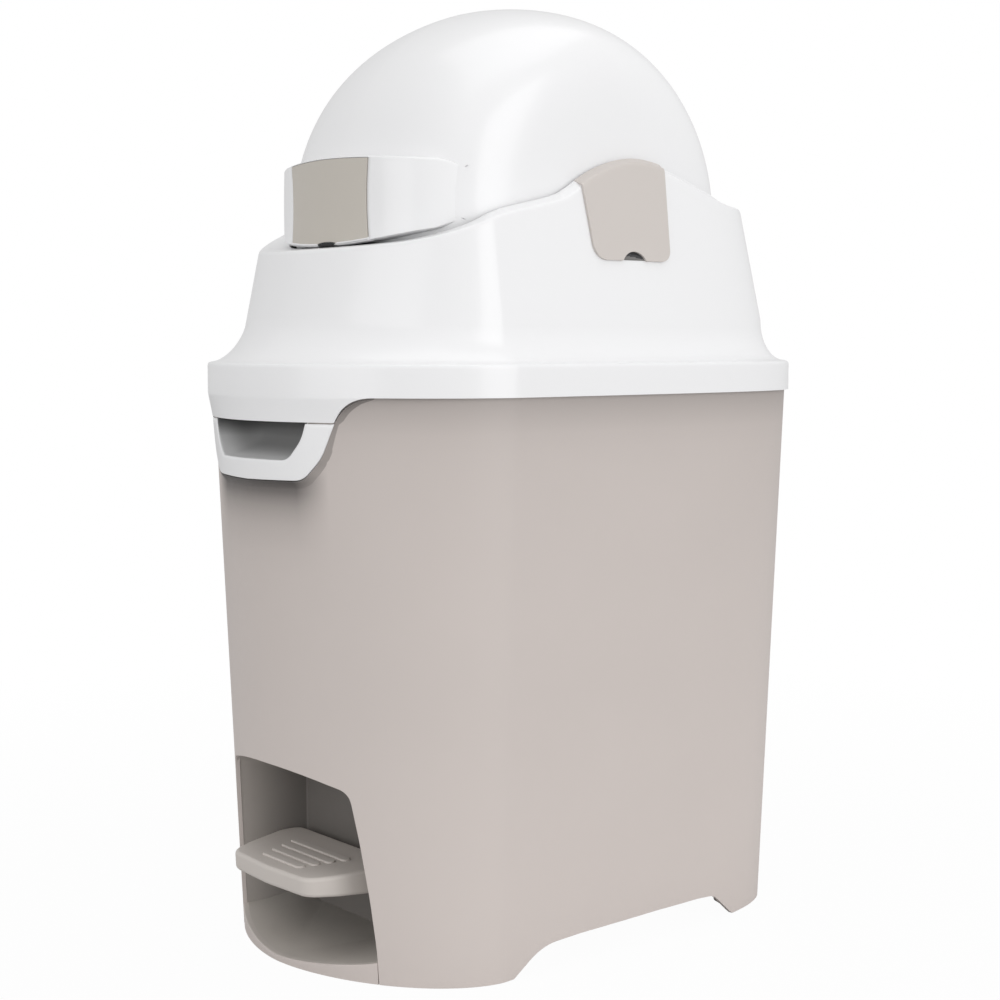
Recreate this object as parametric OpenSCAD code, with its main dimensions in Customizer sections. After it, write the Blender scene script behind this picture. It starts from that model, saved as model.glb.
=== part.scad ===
// Nappy bin with a foot pedal and a turning dome.
// Z is up, the front faces -Y, the origin is under the middle of the bin on the floor.
// Distances called "back" are measured behind the shoulder line, where the round nose
// of the body meets its straight sides.

/* [Bucket] */
// Height of the bucket, where the head rests on it
rim_z = 358; // [320:1:400]
// Half width of the bucket at its top
top_half = 137; // [125:0.5:150]
// Length of the nose in front of the shoulder line, at the top
top_nose = 103.2; // [90:0.2:115]
// Length of the tail behind the shoulder line, at the top
top_tail = 282.2; // [270:0.2:295]
// Half width of the bucket at its foot
foot_half = 123; // [115:0.5:130]
// Length of the nose at the foot
foot_nose = 86.4; // [80:0.2:92]
// Length of the tail at the foot
foot_tail = 272.6; // [264:0.2:280]
// Roundness of the nose outline, 2 is an ellipse
nose_power = 1.776; // [1.6:0.01:2.2]
// Roundness of the tail outline, larger is squarer
tail_power = 4.93; // [3.5:0.01:7]
// Wall of the bucket
wall = 2.8; // [2:0.1:3.4]
// Underside of the bucket floor
floor_z = 21.5; // [20:0.5:26]
// Thickness of the bucket floor
floor_t = 2.5; // [2:0.1:4]
// Height of the arches between the feet
arch_h = 20.5; // [12:0.5:20.5]
// Front end of the side arches, behind the shoulder line
arch_front = 4; // [0:1:20]
// Rear end of the side arches, behind the shoulder line
arch_rear = 202; // [180:1:220]
// Half width of the arch at the back
rear_arch_half = 62; // [40:1:75]
// How far the rubber feet stand out under the bucket
foot_proud = 0.8; // [0.5:0.1:1.5]

/* [Pedal] */
// Half width of the foot recess at the floor
well_foot_half = 77.8; // [74:0.2:80]
// Half width of the foot recess at its top corners
well_top_half = 65.5; // [62:0.5:68]
// Height of the recess at its top corners
well_corner_z = 118.5; // [112:0.5:126]
// Rise of the recess roof from its corners to its middle
well_crown = 8.5; // [4:0.5:10]
// Back wall of the recess, ahead of the shoulder line
well_back = 25; // [22:0.5:30]
// Sheet thickness of the recess
well_t = 2.4; // [2:0.1:3]
// Height of the step along the front of the recess floor
well_step = 10.5; // [8:0.5:14]
// Radius of the sweep from the walls down to the recess floor
well_sweep = 26; // [22:1:40]
// Half width of the pedal pad
pad_half = 50; // [44:0.5:54]
// Half width of the pad at its back edge
pad_back_half = 57; // [50:0.5:60]
// Front edge of the pad, ahead of the shoulder line
pad_front = 96; // [92:0.5:100]
// Back edge of the pad, ahead of the shoulder line
pad_back = 32; // [31:0.5:38]
// Top of the pad at its front edge
pad_front_z = 65; // [62:0.5:68]
// Top of the pad at its back edge
pad_back_z = 68.5; // [66:0.5:71]
// Thickness of the pad
pad_t = 11; // [8:0.5:12]
// Pivot of the pedal, behind the shoulder line
pedal_pivot = 23; // [18:0.5:26]
// Height of the pedal pivot
pedal_pivot_z = 62; // [60:0.5:64]
// Swing of the pedal in degrees
pedal_swing = 12; // [11:0.5:12]
// Radius of the pedal axle
pedal_axle_r = 4; // [3.5:0.1:4.5]
// Radius of the roller on the lift arm
roller_r = 5; // [4.5:0.1:5.5]

/* [Drum] */
// Room between the front of the drum and the top of the bucket's nose
front_room = 67.2; // [66:0.2:72]
// Room between the back of the drum and the top of the bucket's tail
rear_room = 44.2; // [43:0.2:48]
// Room between the drum and the side of the bucket, at its top
side_room = 37; // [36.5:0.1:40]
// Height of the drum axis above the bucket
drum_rise = 114; // [112:0.5:116]
// Wall of the drum
drum_wall = 2.4; // [2:0.1:2.8]
// Crown of the drum across its width, smaller is rounder
crown_power = 1.7; // [1.5:0.05:2.2]
// Squareness of the drum shoulders
shoulder_power = 7; // [5:0.5:9]
// Split between the dome and the scoop, below the axis
split_below = 21; // [20:0.5:24]
// Turn of the drum in degrees
drum_turn = 90; // [80:1:90]
// Radius of the axle pins
pin_r = 4; // [3.6:0.1:4.1]
// Wall of the bushes on the axle pins
bush_wall = 2.6; // [2:0.1:3]

/* [Visor] */
// Room between the end of the raised visor band and the side of the drum
visor_end = 11.5; // [10:0.5:16]
// How far the visor stands out in front of the drum
visor_out = 9.5; // [8.5:0.5:12]
// Lower edge of the visor at its middle, below the drum axis
visor_low = 19.6; // [17:0.2:20]
// Upper edge of the visor at its middle, above the drum axis
visor_high = 32.5; // [24:0.5:36]
// Rise of the lower edge from the middle to the ends
visor_rise = 10; // [9:0.5:12]
// Fall of the upper edge from the middle to the ends
visor_fall = 5.5; // [3:0.5:8]
// Half width of the plate on the visor
plate_half = 42; // [34:0.5:48]
// Thickness of the plate
plate_t = 5; // [4.9:0.1:6]

/* [Head] */
// Height of the rim band
band_h = 18.7; // [15:0.1:22]
// Overhang of the rim band at the nose
over_nose = 5; // [4.5:0.1:6]
// Overhang of the rim band at the sides
over_side = 2.5; // [2:0.1:4]
// Overhang of the rim band at the back
over_tail = 2; // [1.5:0.1:3]
// Height where the flare of the head ends and its wall begins, above the bucket
flare_rise = 47; // [40:1:52]
// Inset of the wall above the flare at the nose
flare_nose = 27.3; // [24:0.2:30]
// Inset of the wall above the flare at the sides and the back
flare_side = 14; // [12:0.2:15]
// Lean of the nose wall, inset for each unit of height
lean_nose = 0.24; // [0.2:0.01:0.28]
// Lean of the side wall, inset for each unit of height
lean_side = 0.165; // [0.15:0.005:0.18]
// Wall of the head
head_wall = 2.6; // [2.2:0.1:2.8]
// Rise of the lip from its outer edge to the opening
lip_rise = 4; // [3:0.5:4]
// Gap between the drum and the opening at the sides
mouth_gap = 2; // [1.5:0.1:2.2]
// Gap between the drum and the opening at the front and the back
mouth_end_gap = 3.5; // [3:0.5:6]
// Half width of the front tab at its lower edge
tab_half = 69.5; // [64:0.5:72]
// Lower edge of the front tab, below the bucket rim
tab_drop = 15.4; // [12:0.2:18]
// Widening of the front tab up to where it meets the band
tab_flare = 7.5; // [4:0.5:10]
// Width of the side pads
side_pad_w = 67; // [58:1:70]
// Middle of the side pads, behind the shoulder line
side_pad_back = 109; // [105:0.5:112]
// Lower edge of the side pads, above the bucket rim
side_pad_rise = 83; // [80:0.5:88]
// Thickness of the side pads
side_pad_t = 1.6; // [1.2:0.1:2.2]
// Swing of the head in degrees
head_swing = 95; // [85:1:95]
// Hinge axis of the head, behind the widest point of the bucket tail
hinge_out = 6.8; // [6.5:0.1:8]
// Height of the hinge axis below the bucket rim
hinge_below = 6; // [6:0.2:7]
// Radius of the hinge knuckles
knuckle_r = 5.5; // [5:0.1:5.6]
// Radius of the hinge pins
hinge_pin_r = 2.5; // [2:0.1:2.8]

/* [Finger cup] */
// Lower edge of the cup, below the bucket rim
cup_drop = 50.5; // [46:0.5:54]
// Half width of the pocket at its top
pocket_half = 53.5; // [48:0.5:56]
// Lower edge of the pocket, below the bucket rim
pocket_drop = 38.5; // [35:0.5:41]
// Depth of the pocket behind the nose
pocket_deep = 31; // [26:0.5:33]
// Sheet thickness of the cup
cup_t = 1.8; // [1.4:0.1:2]

/* [Drive] */
// Size of the gear teeth, pitch over pi
tooth_module = 1.25; // [1.2:0.01:1.25]
// Teeth on the pinion
pinion_teeth = 12; // [12:1:12]
// Thickness of the rack and the pinion
gear_t = 4.4; // [3.6:0.1:4.4]
// Side of the square lift rod
rod_w = 8; // [7:0.1:9]
// Distance of the lift rod from the side of the drum
rod_out = 5; // [4.6:0.05:5.2]

/* [Hidden] */

greige = [0.78, 0.745, 0.725];
dark_greige = [0.7, 0.67, 0.645];
white = [0.95, 0.95, 0.95];
cream = [0.86, 0.86, 0.84];
steel = [0.62, 0.64, 0.66];
black = [0.15, 0.15, 0.16];

// Running and assembly clearances
slide = 0.35;
fit = 0.05;
seat = 0.3;
over = 1;

// The shoulder line lies so that the origin is midway between rim and hinge
seam_y = (top_nose + over_nose - top_tail - hinge_out - knuckle_r) / 2;
drum_r = (top_nose + top_tail - front_room - rear_room) / 2;
drum_back = top_tail - rear_room - drum_r;
drum_half = top_half - side_room;
drum_y = seam_y + drum_back;
drum_z = rim_z + drum_rise;
visor_half = drum_half - visor_end;
flare_z = rim_z + flare_rise;
tab_z = rim_z - tab_drop;
tab_top_half = tab_half + tab_flare;
side_pad_z = rim_z + side_pad_rise;
cup_z = rim_z - cup_drop;
pocket_z = rim_z - pocket_drop;
rod_left = drum_half + rod_out;
hinge_y = seam_y + top_tail + hinge_out;
hinge_z = rim_z - hinge_below;
band_z = rim_z + seat;
band_top = band_z + band_h;
pivot_y = seam_y + pedal_pivot;
floor_top = floor_z + floor_t;

// The lift rod rises as far as the pinion's pitch circle turns
pitch_r = tooth_module * pinion_teeth / 2;
lift = pitch_r * drum_turn * PI / 180;
arm_r = lift / (2 * sin(pedal_swing / 2));
arm_end_y = pivot_y + arm_r * cos(pedal_swing / 2);
arm_end_z = pedal_pivot_z - arm_r * sin(pedal_swing / 2);
rod_y = arm_end_y + 0.3;
rack_y = drum_y - pitch_r;
part_z = rim_z - 13;

// General helpers
function mix(a, b, t) = a + (b - a) * t;
function unit(v) = v / norm(v);
function smooth_lookup(x, table, reach) =
  (lookup(x - reach, table) + 2 * lookup(x, table) + lookup(x + reach, table)) / 4;

// One point of the body outline at angle a, with half width w, nose length f and tail length t
function outline_point(a, w, f, t, tail = tail_power) =
  let (e = sin(a) < 0 ? nose_power : tail,
       l = sin(a) < 0 ? f : t,
       k = pow(pow(abs(cos(a)), e) + pow(abs(sin(a)), e), -1 / e))
  [w * cos(a) * k, seam_y + l * sin(a) * k];

sides = 96;
function angles() = [for (i = [0 : sides - 1]) 360 * i / sides];

// A level ring of the tapered body, grown outward by g
function body_ring(z, g = 0) =
  let (k = z / rim_z,
       w = mix(foot_half, top_half, k) + g,
       f = mix(foot_nose, top_nose, k) + g,
       t = mix(foot_tail, top_tail, k) + g)
  [for (a = angles()) let (p = outline_point(a, w, f, t)) [p[0], p[1], z]];

// Inner half width of the bucket on its straight sides
function inner_half(z) = mix(foot_half, top_half, z / rim_z) - wall;

// A closed solid through rings of equal count, bottom ring first
module stack(rings) {
  n = len(rings[0]);
  m = len(rings);
  points = [for (r = rings) each r];
  skin = [for (k = [0 : m - 2], i = [0 : n - 1])
    let (a = k * n + i, b = k * n + (i + 1) % n)
    each [[a + n, b + n, b], [a + n, b, a]]];
  polyhedron(points, concat([[for (i = [0 : n - 1]) i]],
    [[for (i = [n - 1 : -1 : 0]) (m - 1) * n + i]], skin), convexity = 8);
}

// A closed band: rings up the outside, down the inside and back to the first
module ring_band(rings) {
  n = len(rings[0]);
  m = len(rings);
  points = [for (r = rings) each r];
  skin = [for (k = [0 : m - 1], i = [0 : n - 1])
    let (a = k * n + i, b = k * n + (i + 1) % n,
         c = ((k + 1) % m) * n + i, d = ((k + 1) % m) * n + (i + 1) % n)
    each [[c, d, b], [c, b, a]]];
  polyhedron(points, skin, convexity = 8);
}

module body_solid(z0, z1, g = 0) {
  stack([body_ring(z0, g), body_ring(z1, g)]);
}

// The corners of outline p rounded with radius r[i] each, n segments to an arc
function rounded(p, r, n = 6) =
  let (m = len(p))
  [for (i = [0 : m - 1])
    let (b = p[i], u = unit(p[(i + m - 1) % m] - b), v = unit(p[(i + 1) % m] - b),
         half = acos(u * v) / 2,
         centre = b + unit(u + v) * r[i] / sin(half),
         s = b + u * r[i] / tan(half) - centre, e = b + v * r[i] / tan(half) - centre,
         a0 = atan2(s[1], s[0]), turn = atan2(s[0] * e[1] - s[1] * e[0], s * e))
    each r[i] == 0 ? [b] : [for (j = [0 : n]) centre + r[i] * [cos(a0 + turn * j / n), sin(a0 + turn * j / n)]]];

// An outline drawn in X and Z, extruded from y0 to y1
module prism_y(outline, y0, y1) {
  translate([0, y1, 0]) rotate([90, 0, 0]) linear_extrude(y1 - y0) polygon(outline);
}

// An outline drawn in Y and Z, extruded from x0 to x1
module prism_x(outline, x0, x1) {
  translate([x0, 0, 0]) rotate([90, 0, 90]) linear_extrude(x1 - x0) polygon(outline);
}

// A box between two corners
module block(a, b) {
  translate(a) cube(b - a);
}

// A round bar or bore along X, from x0 to x1
module bar_x(r, x0, x1, y, z, facets = 48) {
  translate([x0, y, z]) rotate([0, 90, 0]) cylinder(r = r, h = x1 - x0, $fn = facets);
}

module bar_z(r, z0, z1, x, y, facets = 36) {
  translate([x, y, z0]) cylinder(r = r, h = z1 - z0, $fn = facets);
}

// A pan head screw that drives down, its head resting at z
module screw_down(x, y, z, len = 9) {
  bar_z(3.2, z, z + 2, x, y);
  bar_z(1.4, z - len, z + 0.5, x, y);
}

// Bucket

// Outline of the foot recess in X and Z, grown by g
function well_outline(g = 0) =
  let (w = well_top_half + g, f = well_foot_half + g, h = well_corner_z + g, c = 2 * well_crown,
       crown_r = (norm([w, c]) - 11) * w / c)
  concat([[-f, -over], [f, -over]],
    rounded([[f - 0.3, 22], [f - 2.9, 53], [w + 5, 88], [w, h], [0, h + c], [-w, h], [-w - 5, 88], [2.9 - f, 53],
      [0.3 - f, 22]], [0, 0, 0, 10, crown_r, 10, 0, 0, 0], 6));

// Side arch in Y and Z
function side_arch() =
  let (f = seam_y + arch_front, r = seam_y + arch_rear, h = arch_h)
  rounded([[f - 2, -over], [f + 18, h - 4.5], [f + 46, h - 1.5], [r - 30, h], [r - 12, h - 2], [r + 1, -over]],
    [0, 14, 0, 0, 9, 0], 5);

// Rear arch in X and Z
function rear_arch() =
  let (w = rear_arch_half, h = arch_h - 4)
  rounded([[-w - 16, -over], [-w, h], [w, h], [w + 16, -over]], [0, 14, 14, 0], 5);

// Outline of the front tab and the boss under it in X and Z, shrunk by g, from z0 to z1
function boss_outline(z0, z1, g = 0) =
  let (m = mix(tab_half, tab_top_half, (z1 - tab_z) / (rim_z - tab_z)))
  rounded([[47 - g, z0], [59 - g, 320], [tab_half - g, tab_z], [m - g, z1], [g - m, z1],
    [g - tab_half, tab_z], [g - 59, 320], [g - 47, z0]], [9, 12, 0, 0, 0, 0, 12, 9], 4);

// Outline of the finger pocket in X and Z, grown by g, with its open top at z1
function pocket_outline(z1, g = 0) =
  rounded([[38 + g, pocket_z - g], [48 + g * 0.9, 333], [pocket_half + g, z1], [-pocket_half - g, z1],
    [-48 - g * 0.9, 333], [-38 - g, pocket_z - g]], [9, 0, 0, 0, 0, 9], 5);

// Side profile of the finger pocket in Y and Z, grown by g
function pocket_profile(g = 0) =
  let (f = seam_y - top_nose, b = f + pocket_deep + g)
  rounded([[f - 20, pocket_z - g], [b, pocket_z - g + 5], [b, rim_z - 0.5], [f - 20, rim_z - 0.5]], [0, 15, 0, 0], 6);

screw_spots = [for (x = [-1, 1]) [x * 40, pivot_y + 44]];
bracket_x = [19 - rod_left, 52];
bracket_w = 8;
foot_spots = [[88, 0.5], [-88, 0.5], [96, 226], [-96, 226]];
foot_r = 9;
foot_z = foot_proud + 2.2;
ring_z = drum_z - drum_r - 10;
ring_t = 3;
lug_half = 12;

// Middle of the wall at a height, for posts that grow from it
function post_side(z) = inner_half(z) + wall / 2;

module ring_lug(side, back) {
  x0 = side * (inner_half(ring_z) - 11);
  x1 = side * post_side(ring_z - 12);
  y = seam_y + back;
  translate([0, y - lug_half / 2, 0]) rotate([90, 0, 0]) mirror([0, 0, 1])
    linear_extrude(lug_half) polygon([[x0, ring_z - seat], [x1, ring_z - seat], [x1, ring_z - 24], [x0, ring_z - 8]]);
}

module hinge_ear(x0, x1) {
  ear = [[seam_y + top_tail - wall + 0.6, hinge_z - 14], [hinge_y, hinge_z - knuckle_r],
    [hinge_y, hinge_z], [seam_y + top_tail - wall + 0.6, hinge_z + 4]];
  difference() {
    union() {
      prism_x(ear, x0, x1);
      bar_x(knuckle_r, x0, x1, hinge_y, hinge_z);
    }
    bar_x(hinge_pin_r + fit, x0 - over, x1 + over, hinge_y, hinge_z);
  }
}

ear_spans = [[-62, -50], [-36, -24], [24, 36], [50, 62]];
knuckle_spans = [[-49.6, -36.4], [36.4, 49.6]];

module bucket() color(greige) {
  difference() {
    union() {
      difference() {
        body_solid(foot_proud, rim_z);
        body_solid(floor_top, rim_z + over, -wall);
        body_solid(foot_proud - over, floor_z, -wall);
      }
      for (s = foot_spots)
        bar_z(foot_r + 2.4, foot_proud + 0.6, floor_z + 1, s[0], seam_y + s[1]);
      for (side = [-1, 1], back = [8, 128])
        ring_lug(side, back);
      difference() {
        intersection() {
          body_solid(cup_z - 1, rim_z, 1.8);
          prism_y(boss_outline(cup_z - 1, rim_z), seam_y - 140, seam_y - 30);
        }
        body_solid(cup_z - 2, rim_z + over, -1.4);
      }
      for (s = ear_spans)
        hinge_ear(s[0], s[1]);
    }
    prism_y(well_outline(), seam_y - 140, seam_y - well_back + 0.4);
    prism_x(side_arch(), -160, 160);
    prism_y(rear_arch(), seam_y + 240, seam_y + 300);
    prism_y(pocket_outline(rim_z + over, cup_t + seat), seam_y - 140, seam_y - 60);
    for (s = foot_spots)
      bar_z(foot_r + fit, -over, foot_z + seat, s[0], seam_y + s[1]);
    for (s = screw_spots)
      bar_z(1.45, floor_top - 5, floor_top + over, s[0], s[1]);
    for (x = bracket_x, side = [-1, 1])
      bar_z(1.45, floor_top - 5, floor_top + over, x, pivot_y + side * 13);
  }
}

// The recess behind the pedal, a pressed-in tray with its own floor and step
slot_half = 30;
module pedal_well() color(greige) {
  back = seam_y - well_back;
  sweep = rounded([[seam_y - 200, 8], [seam_y - 84, 8], [back, 12], [back, 200], [seam_y - 200, 200]],
    [0, 0, well_sweep, 0, 0], 10);
  difference() {
    union() {
      intersection() {
        body_solid(floor_z + 3.2, rim_z - 200, -wall - seat);
        prism_y(well_outline(well_t), seam_y - 140, back + well_t);
      }
      intersection() {
        body_solid(foot_proud, floor_z + 8);
        prism_y(well_outline(-seat), seam_y - 140, back + 0.1);
      }
    }
    intersection() {
      prism_y(well_outline(-seat), seam_y - 150, back);
      prism_x(sweep, -120, 120);
      prism_y(rounded([[-well_foot_half, 8], [well_foot_half, 8], [well_foot_half, 200], [-well_foot_half, 200]],
        [well_sweep, well_sweep, 0, 0], 10), seam_y - 150, back);
      union() {
        block([-120, seam_y - 150, well_step], [120, back + over, 200]);
        body_solid(well_step - 3, well_step + over, -6);
      }
    }
    body_solid(foot_proud - over, 5.5, -wall);
    block([-slot_half, back - 12, pad_back_z - 22], [slot_half, back + 10, pad_back_z + 3]);
  }
}

// The hump over the pedal shaft
cover_front = 20.8;
cover_rear = 36;
cover_top = 84;
cover_t = 2.2;
channel_front = 78;
channel_x0 = rod_left - 9.5;
module mechanism_cover() color(dark_greige) {
  y0 = seam_y - cover_front + slide;
  y1 = pivot_y + cover_rear;
  z0 = floor_top;
  x1 = 62;
  x0 = -inner_half(floor_top) + 8;
  arm_y = seam_y + channel_front - 6;
  difference() {
    union() {
      block([x0, y0, z0], [x1, y1, cover_top]);
      block([x0, y1 - 4, z0], [-channel_x0, arm_y + 24, cover_top]);
      for (s = screw_spots)
        block([s[0] - 7, y1 - 1, z0], [s[0] + 7, s[1] + 7, z0 + 2.4]);
    }
    block([x0 + cover_t, y0 - over, z0 - over], [x1 - cover_t, y1 - cover_t, cover_top - cover_t]);
    block([x0 + cover_t, y1 - 8, z0 - over], [-channel_x0 - cover_t, arm_y + 24 - cover_t, cover_top - cover_t]);
    block([-rod_left - rod_w / 2 - 3, rod_y - rod_w / 2 - 3, cover_top - 5],
      [-rod_left + rod_w / 2 + 3, rod_y + rod_w / 2 + 3, cover_top + over]);
    for (s = screw_spots)
      bar_z(1.7, z0 - over, z0 + 5, s[0], s[1]);
  }
}

module cover_screws() color(steel) {
  for (s = screw_spots)
    screw_down(s[0], s[1], floor_top + 2.4, 4.5);
}

// Square tube that keeps the lift rod upright, with fins to the bucket wall
guide_t = 2;
guide_top = part_z - 4;
module rod_guide() color(dark_greige) {
  h = rod_w / 2 + slide;
  o = h + guide_t;
  z0 = cover_top + seat;
  difference() {
    union() {
      block([-rod_left - o, rod_y - o, z0], [-rod_left + o, rod_y + o, guide_top]);
      for (y = [rod_y - o, rod_y + o - guide_t])
        prism_y([[-rod_left - o + 1, z0], [-rod_left - o + 1, guide_top],
          [-inner_half(guide_top) + seat, guide_top], [-inner_half(z0) + seat, z0]], y, y + guide_t);
    }
    block([-rod_left - h, rod_y - h, z0 - over], [-rod_left + h, rod_y + h, guide_top + over]);
  }
}

// The frame that the bag's edge is folded over
bag_half = top_half - 47;
bag_nose = top_nose - 41.2;
bag_tail = top_tail - 42.2;
function level_ring(w, f, t, z) = [for (a = angles()) let (p = outline_point(a, w, f, t)) [p[0], p[1], z]];
module bag_ring() color(white) {
  o = rod_w / 2 + slide + guide_t + 1;
  difference() {
    union() {
      body_solid(ring_z, ring_z + ring_t, -wall - 1.2);
      stack([level_ring(bag_half + 2.5, bag_nose + 2.5, bag_tail + 2.5, ring_z - 20),
        level_ring(bag_half + 2.5, bag_nose + 2.5, bag_tail + 2.5, ring_z + 1)]);
    }
    stack([level_ring(bag_half, bag_nose, bag_tail, ring_z - 21),
      level_ring(bag_half, bag_nose, bag_tail, ring_z + ring_t + over)]);
    block([-160, rod_y - o, ring_z - 30], [-rod_left + o, rod_y + o, ring_z + ring_t + over]);
    prism_y(pocket_outline(rim_z + over, cup_t + 1.2), seam_y - 140, seam_y - top_nose + pocket_deep + cup_t + 1);
  }
}

module finger_cup() color(white) {
  difference() {
    intersection() {
      body_solid(cup_z - 3, rim_z - 0.5, 3.7);
      union() {
        difference() {
          prism_y(boss_outline(cup_z, tab_z - seat, 0.5), seam_y - 140, seam_y - 40);
          body_solid(cup_z - 4, rim_z + over, 2);
        }
        intersection() {
          prism_y(pocket_outline(rim_z - 0.5, cup_t), seam_y - 140, seam_y - 60);
          prism_x(pocket_profile(cup_t), -80, 80);
          union() {
            block([-80, seam_y - 140, pocket_z - 4], [80, seam_y - 40, tab_z - seat]);
            body_solid(pocket_z, rim_z, -4.5);
          }
        }
      }
    }
    intersection() {
      prism_y(pocket_outline(rim_z + over), seam_y - 150, seam_y - 60);
      prism_x(pocket_profile(), -90, 90);
    }
    block([-80, seam_y - 150, rim_z - 0.8], [80, seam_y, rim_z + over]);
  }
  block([-18, keeper_y, rim_z - 5.5], [10, keeper_y + 4.6, rim_z - 3]);
}

module rubber_feet() color(black) {
  for (s = foot_spots)
    bar_z(foot_r, 0, foot_z, s[0], seam_y + s[1]);
}

// Pedal and its linkage

module pedal_bracket(x) color(cream) {
  difference() {
    union() {
      block([x - bracket_w / 2, pivot_y - 9, floor_top], [x + bracket_w / 2, pivot_y + 9, pedal_pivot_z]);
      block([x - bracket_w / 2, pivot_y - 18, floor_top], [x + bracket_w / 2, pivot_y + 18, floor_top + 4]);
      bar_x(9, x - bracket_w / 2, x + bracket_w / 2, pivot_y, pedal_pivot_z);
    }
    bar_x(pedal_axle_r + fit, x - bracket_w, x + bracket_w, pivot_y, pedal_pivot_z);
    for (side = [-1, 1])
      bar_z(1.7, floor_top - over, floor_top + 6, x, pivot_y + side * 13);
  }
}

module bracket_screws() color(steel) {
  for (x = bracket_x, side = [-1, 1])
    screw_down(x, pivot_y + side * 13, floor_top + 4, 8);
}

hub_r = 8;
arm_half = 24;
module pedal() color(dark_greige) {
  front = seam_y - pad_front;
  back = seam_y - pad_back;
  tilt = atan((pad_back_z - pad_front_z) / (pad_front - pad_back));
  mid = (front + back) / 2;
  mid_z = (pad_front_z + pad_back_z) / 2;
  half_l = (pad_front - pad_back) / 2;
  b = pad_back_half;
  plan = rounded([[-pad_half, -half_l], [pad_half, -half_l], [pad_half + 0.5, half_l - 26], [b, half_l - 15],
    [b, half_l], [-b, half_l], [-b, half_l - 15], [-pad_half - 0.5, half_l - 26]], [13, 13, 10, 8, 4, 4, 8, 10], 6);
  difference() {
    union() {
      translate([0, mid, mid_z]) rotate([tilt, 0, 0]) {
        translate([0, 0, -pad_t]) linear_extrude(pad_t - 0.8) polygon(plan);
        for (i = [0 : 3])
          translate([0, -18 + i * 9, -1]) linear_extrude(1.6)
            polygon(rounded([[-24 - i * 3, -2.2], [24 + i * 3, -2.2], [24 + i * 3, 2.2], [-24 - i * 3, 2.2]],
              [2, 2, 2, 2], 4));
      }
      prism_x([[back - 6, pad_back_z - 9.5], [back - 6, pad_back_z - 2.5],
        [pivot_y, pedal_pivot_z + 6], [pivot_y, pedal_pivot_z - 4]], -arm_half, arm_half);
      bar_x(hub_r, -arm_half - 4, arm_half + 4, pivot_y, pedal_pivot_z);
    }
    bar_x(pedal_axle_r, -60, 60, pivot_y, pedal_pivot_z);
  }
}

axle_left = -rod_left - 5;
axle_right = 58;
module pedal_axle() color(steel) {
  bar_x(pedal_axle_r, axle_left, axle_right, pivot_y, pedal_pivot_z);
}

module axle_clips() color(steel) {
  for (x = [axle_right - 1.5, bracket_x[0] - bracket_w / 2 - 2.1])
    difference() {
      bar_x(pedal_axle_r + 2, x, x + 1.2, pivot_y, pedal_pivot_z);
      bar_x(pedal_axle_r, x - over, x + 2, pivot_y, pedal_pivot_z);
    }
}

fork_w = 9;
module lift_arm() color(cream) {
  x0 = -rod_left - fork_w / 2;
  x1 = -rod_left + fork_w / 2;
  dy = arm_end_y - pivot_y;
  n = unit([pedal_pivot_z - arm_end_z, dy]);
  difference() {
    union() {
      bar_x(hub_r, x0, x1, pivot_y, pedal_pivot_z);
      prism_x([[pivot_y, pedal_pivot_z] - 5 * n, [arm_end_y, arm_end_z] - 4 * n,
        [arm_end_y, arm_end_z] + 4 * n, [pivot_y, pedal_pivot_z] + 5 * n], x0, x1);
      bar_x(4, x0, x1, arm_end_y, arm_end_z);
    }
    bar_x(pedal_axle_r, x0 - over, x1 + over, pivot_y, pedal_pivot_z);
    bar_x(roller_r + 1, -rod_left - 2.6, -rod_left + 2.6, arm_end_y, arm_end_z);
    bar_x(1.5, x0 - over, x1 + over, arm_end_y, arm_end_z);
  }
}

module lift_roller() color(white) {
  difference() {
    bar_x(roller_r, -rod_left - 2.2, -rod_left + 2.2, arm_end_y, arm_end_z);
    bar_x(1.55, -rod_left - 5, -rod_left + 5, arm_end_y, arm_end_z);
  }
}

module roller_pin() color(steel) {
  bar_x(1.5, -rod_left - fork_w / 2, -rod_left + fork_w / 2, arm_end_y, arm_end_z);
}

// Coil spring on the pedal axle, beside the pedal hub
coil_r = 6.6;
coil_wire = 1.1;
module pedal_return_spring() color(steel) {
  difference() {
    bar_x(coil_r + coil_wire, 31, 46, pivot_y, pedal_pivot_z);
    bar_x(coil_r - coil_wire, 30, 47, pivot_y, pedal_pivot_z);
  }
  block([44, pivot_y - 1, floor_top], [46, pivot_y + 1, pedal_pivot_z - coil_r]);
}

foot_bottom = arm_end_z + roller_r + seat;
module lift_rod() color(cream) {
  block([-rod_left - rod_w / 2, rod_y - rod_w / 2, foot_bottom + 3],
    [-rod_left + rod_w / 2, rod_y + rod_w / 2, part_z - seat]);
}

module rod_foot() color(white) {
  block([-rod_left - 5, rod_y - 7, foot_bottom], [-rod_left + 5, rod_y + 7, foot_bottom + 3]);
}

// Drive in the head

// Involute pinion: flank points from the base circle to the tip
tooth_angle = 25;
base_r = pitch_r * cos(tooth_angle);
tip_r = pitch_r + tooth_module;
root_r = pitch_r - 1.25 * tooth_module;
backlash = 0.3;
function involute_turn(r) = let (k = sqrt(r * r / (base_r * base_r) - 1)) k * 180 / PI - atan(k);
half_tooth = 90 / pinion_teeth - backlash / 4 / pitch_r * 180 / PI + involute_turn(pitch_r);
flank_from = max(base_r, root_r);
function flank_r() = [for (i = [0 : 4]) mix(flank_from, tip_r, i / 4)];
function tooth(a) = concat([[root_r, a - half_tooth]],
  [for (r = flank_r()) [r, a - half_tooth + involute_turn(r)]],
  [for (i = [4 : -1 : 0]) let (r = flank_r()[i]) [r, a + half_tooth - involute_turn(r)]],
  [[root_r, a + half_tooth]]);
function pinion_outline() = [for (i = [0 : pinion_teeth - 1]) each
  [for (p = tooth(180 + 360 * i / pinion_teeth)) [p[0] * cos(p[1]), p[0] * sin(p[1])]]];
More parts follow.
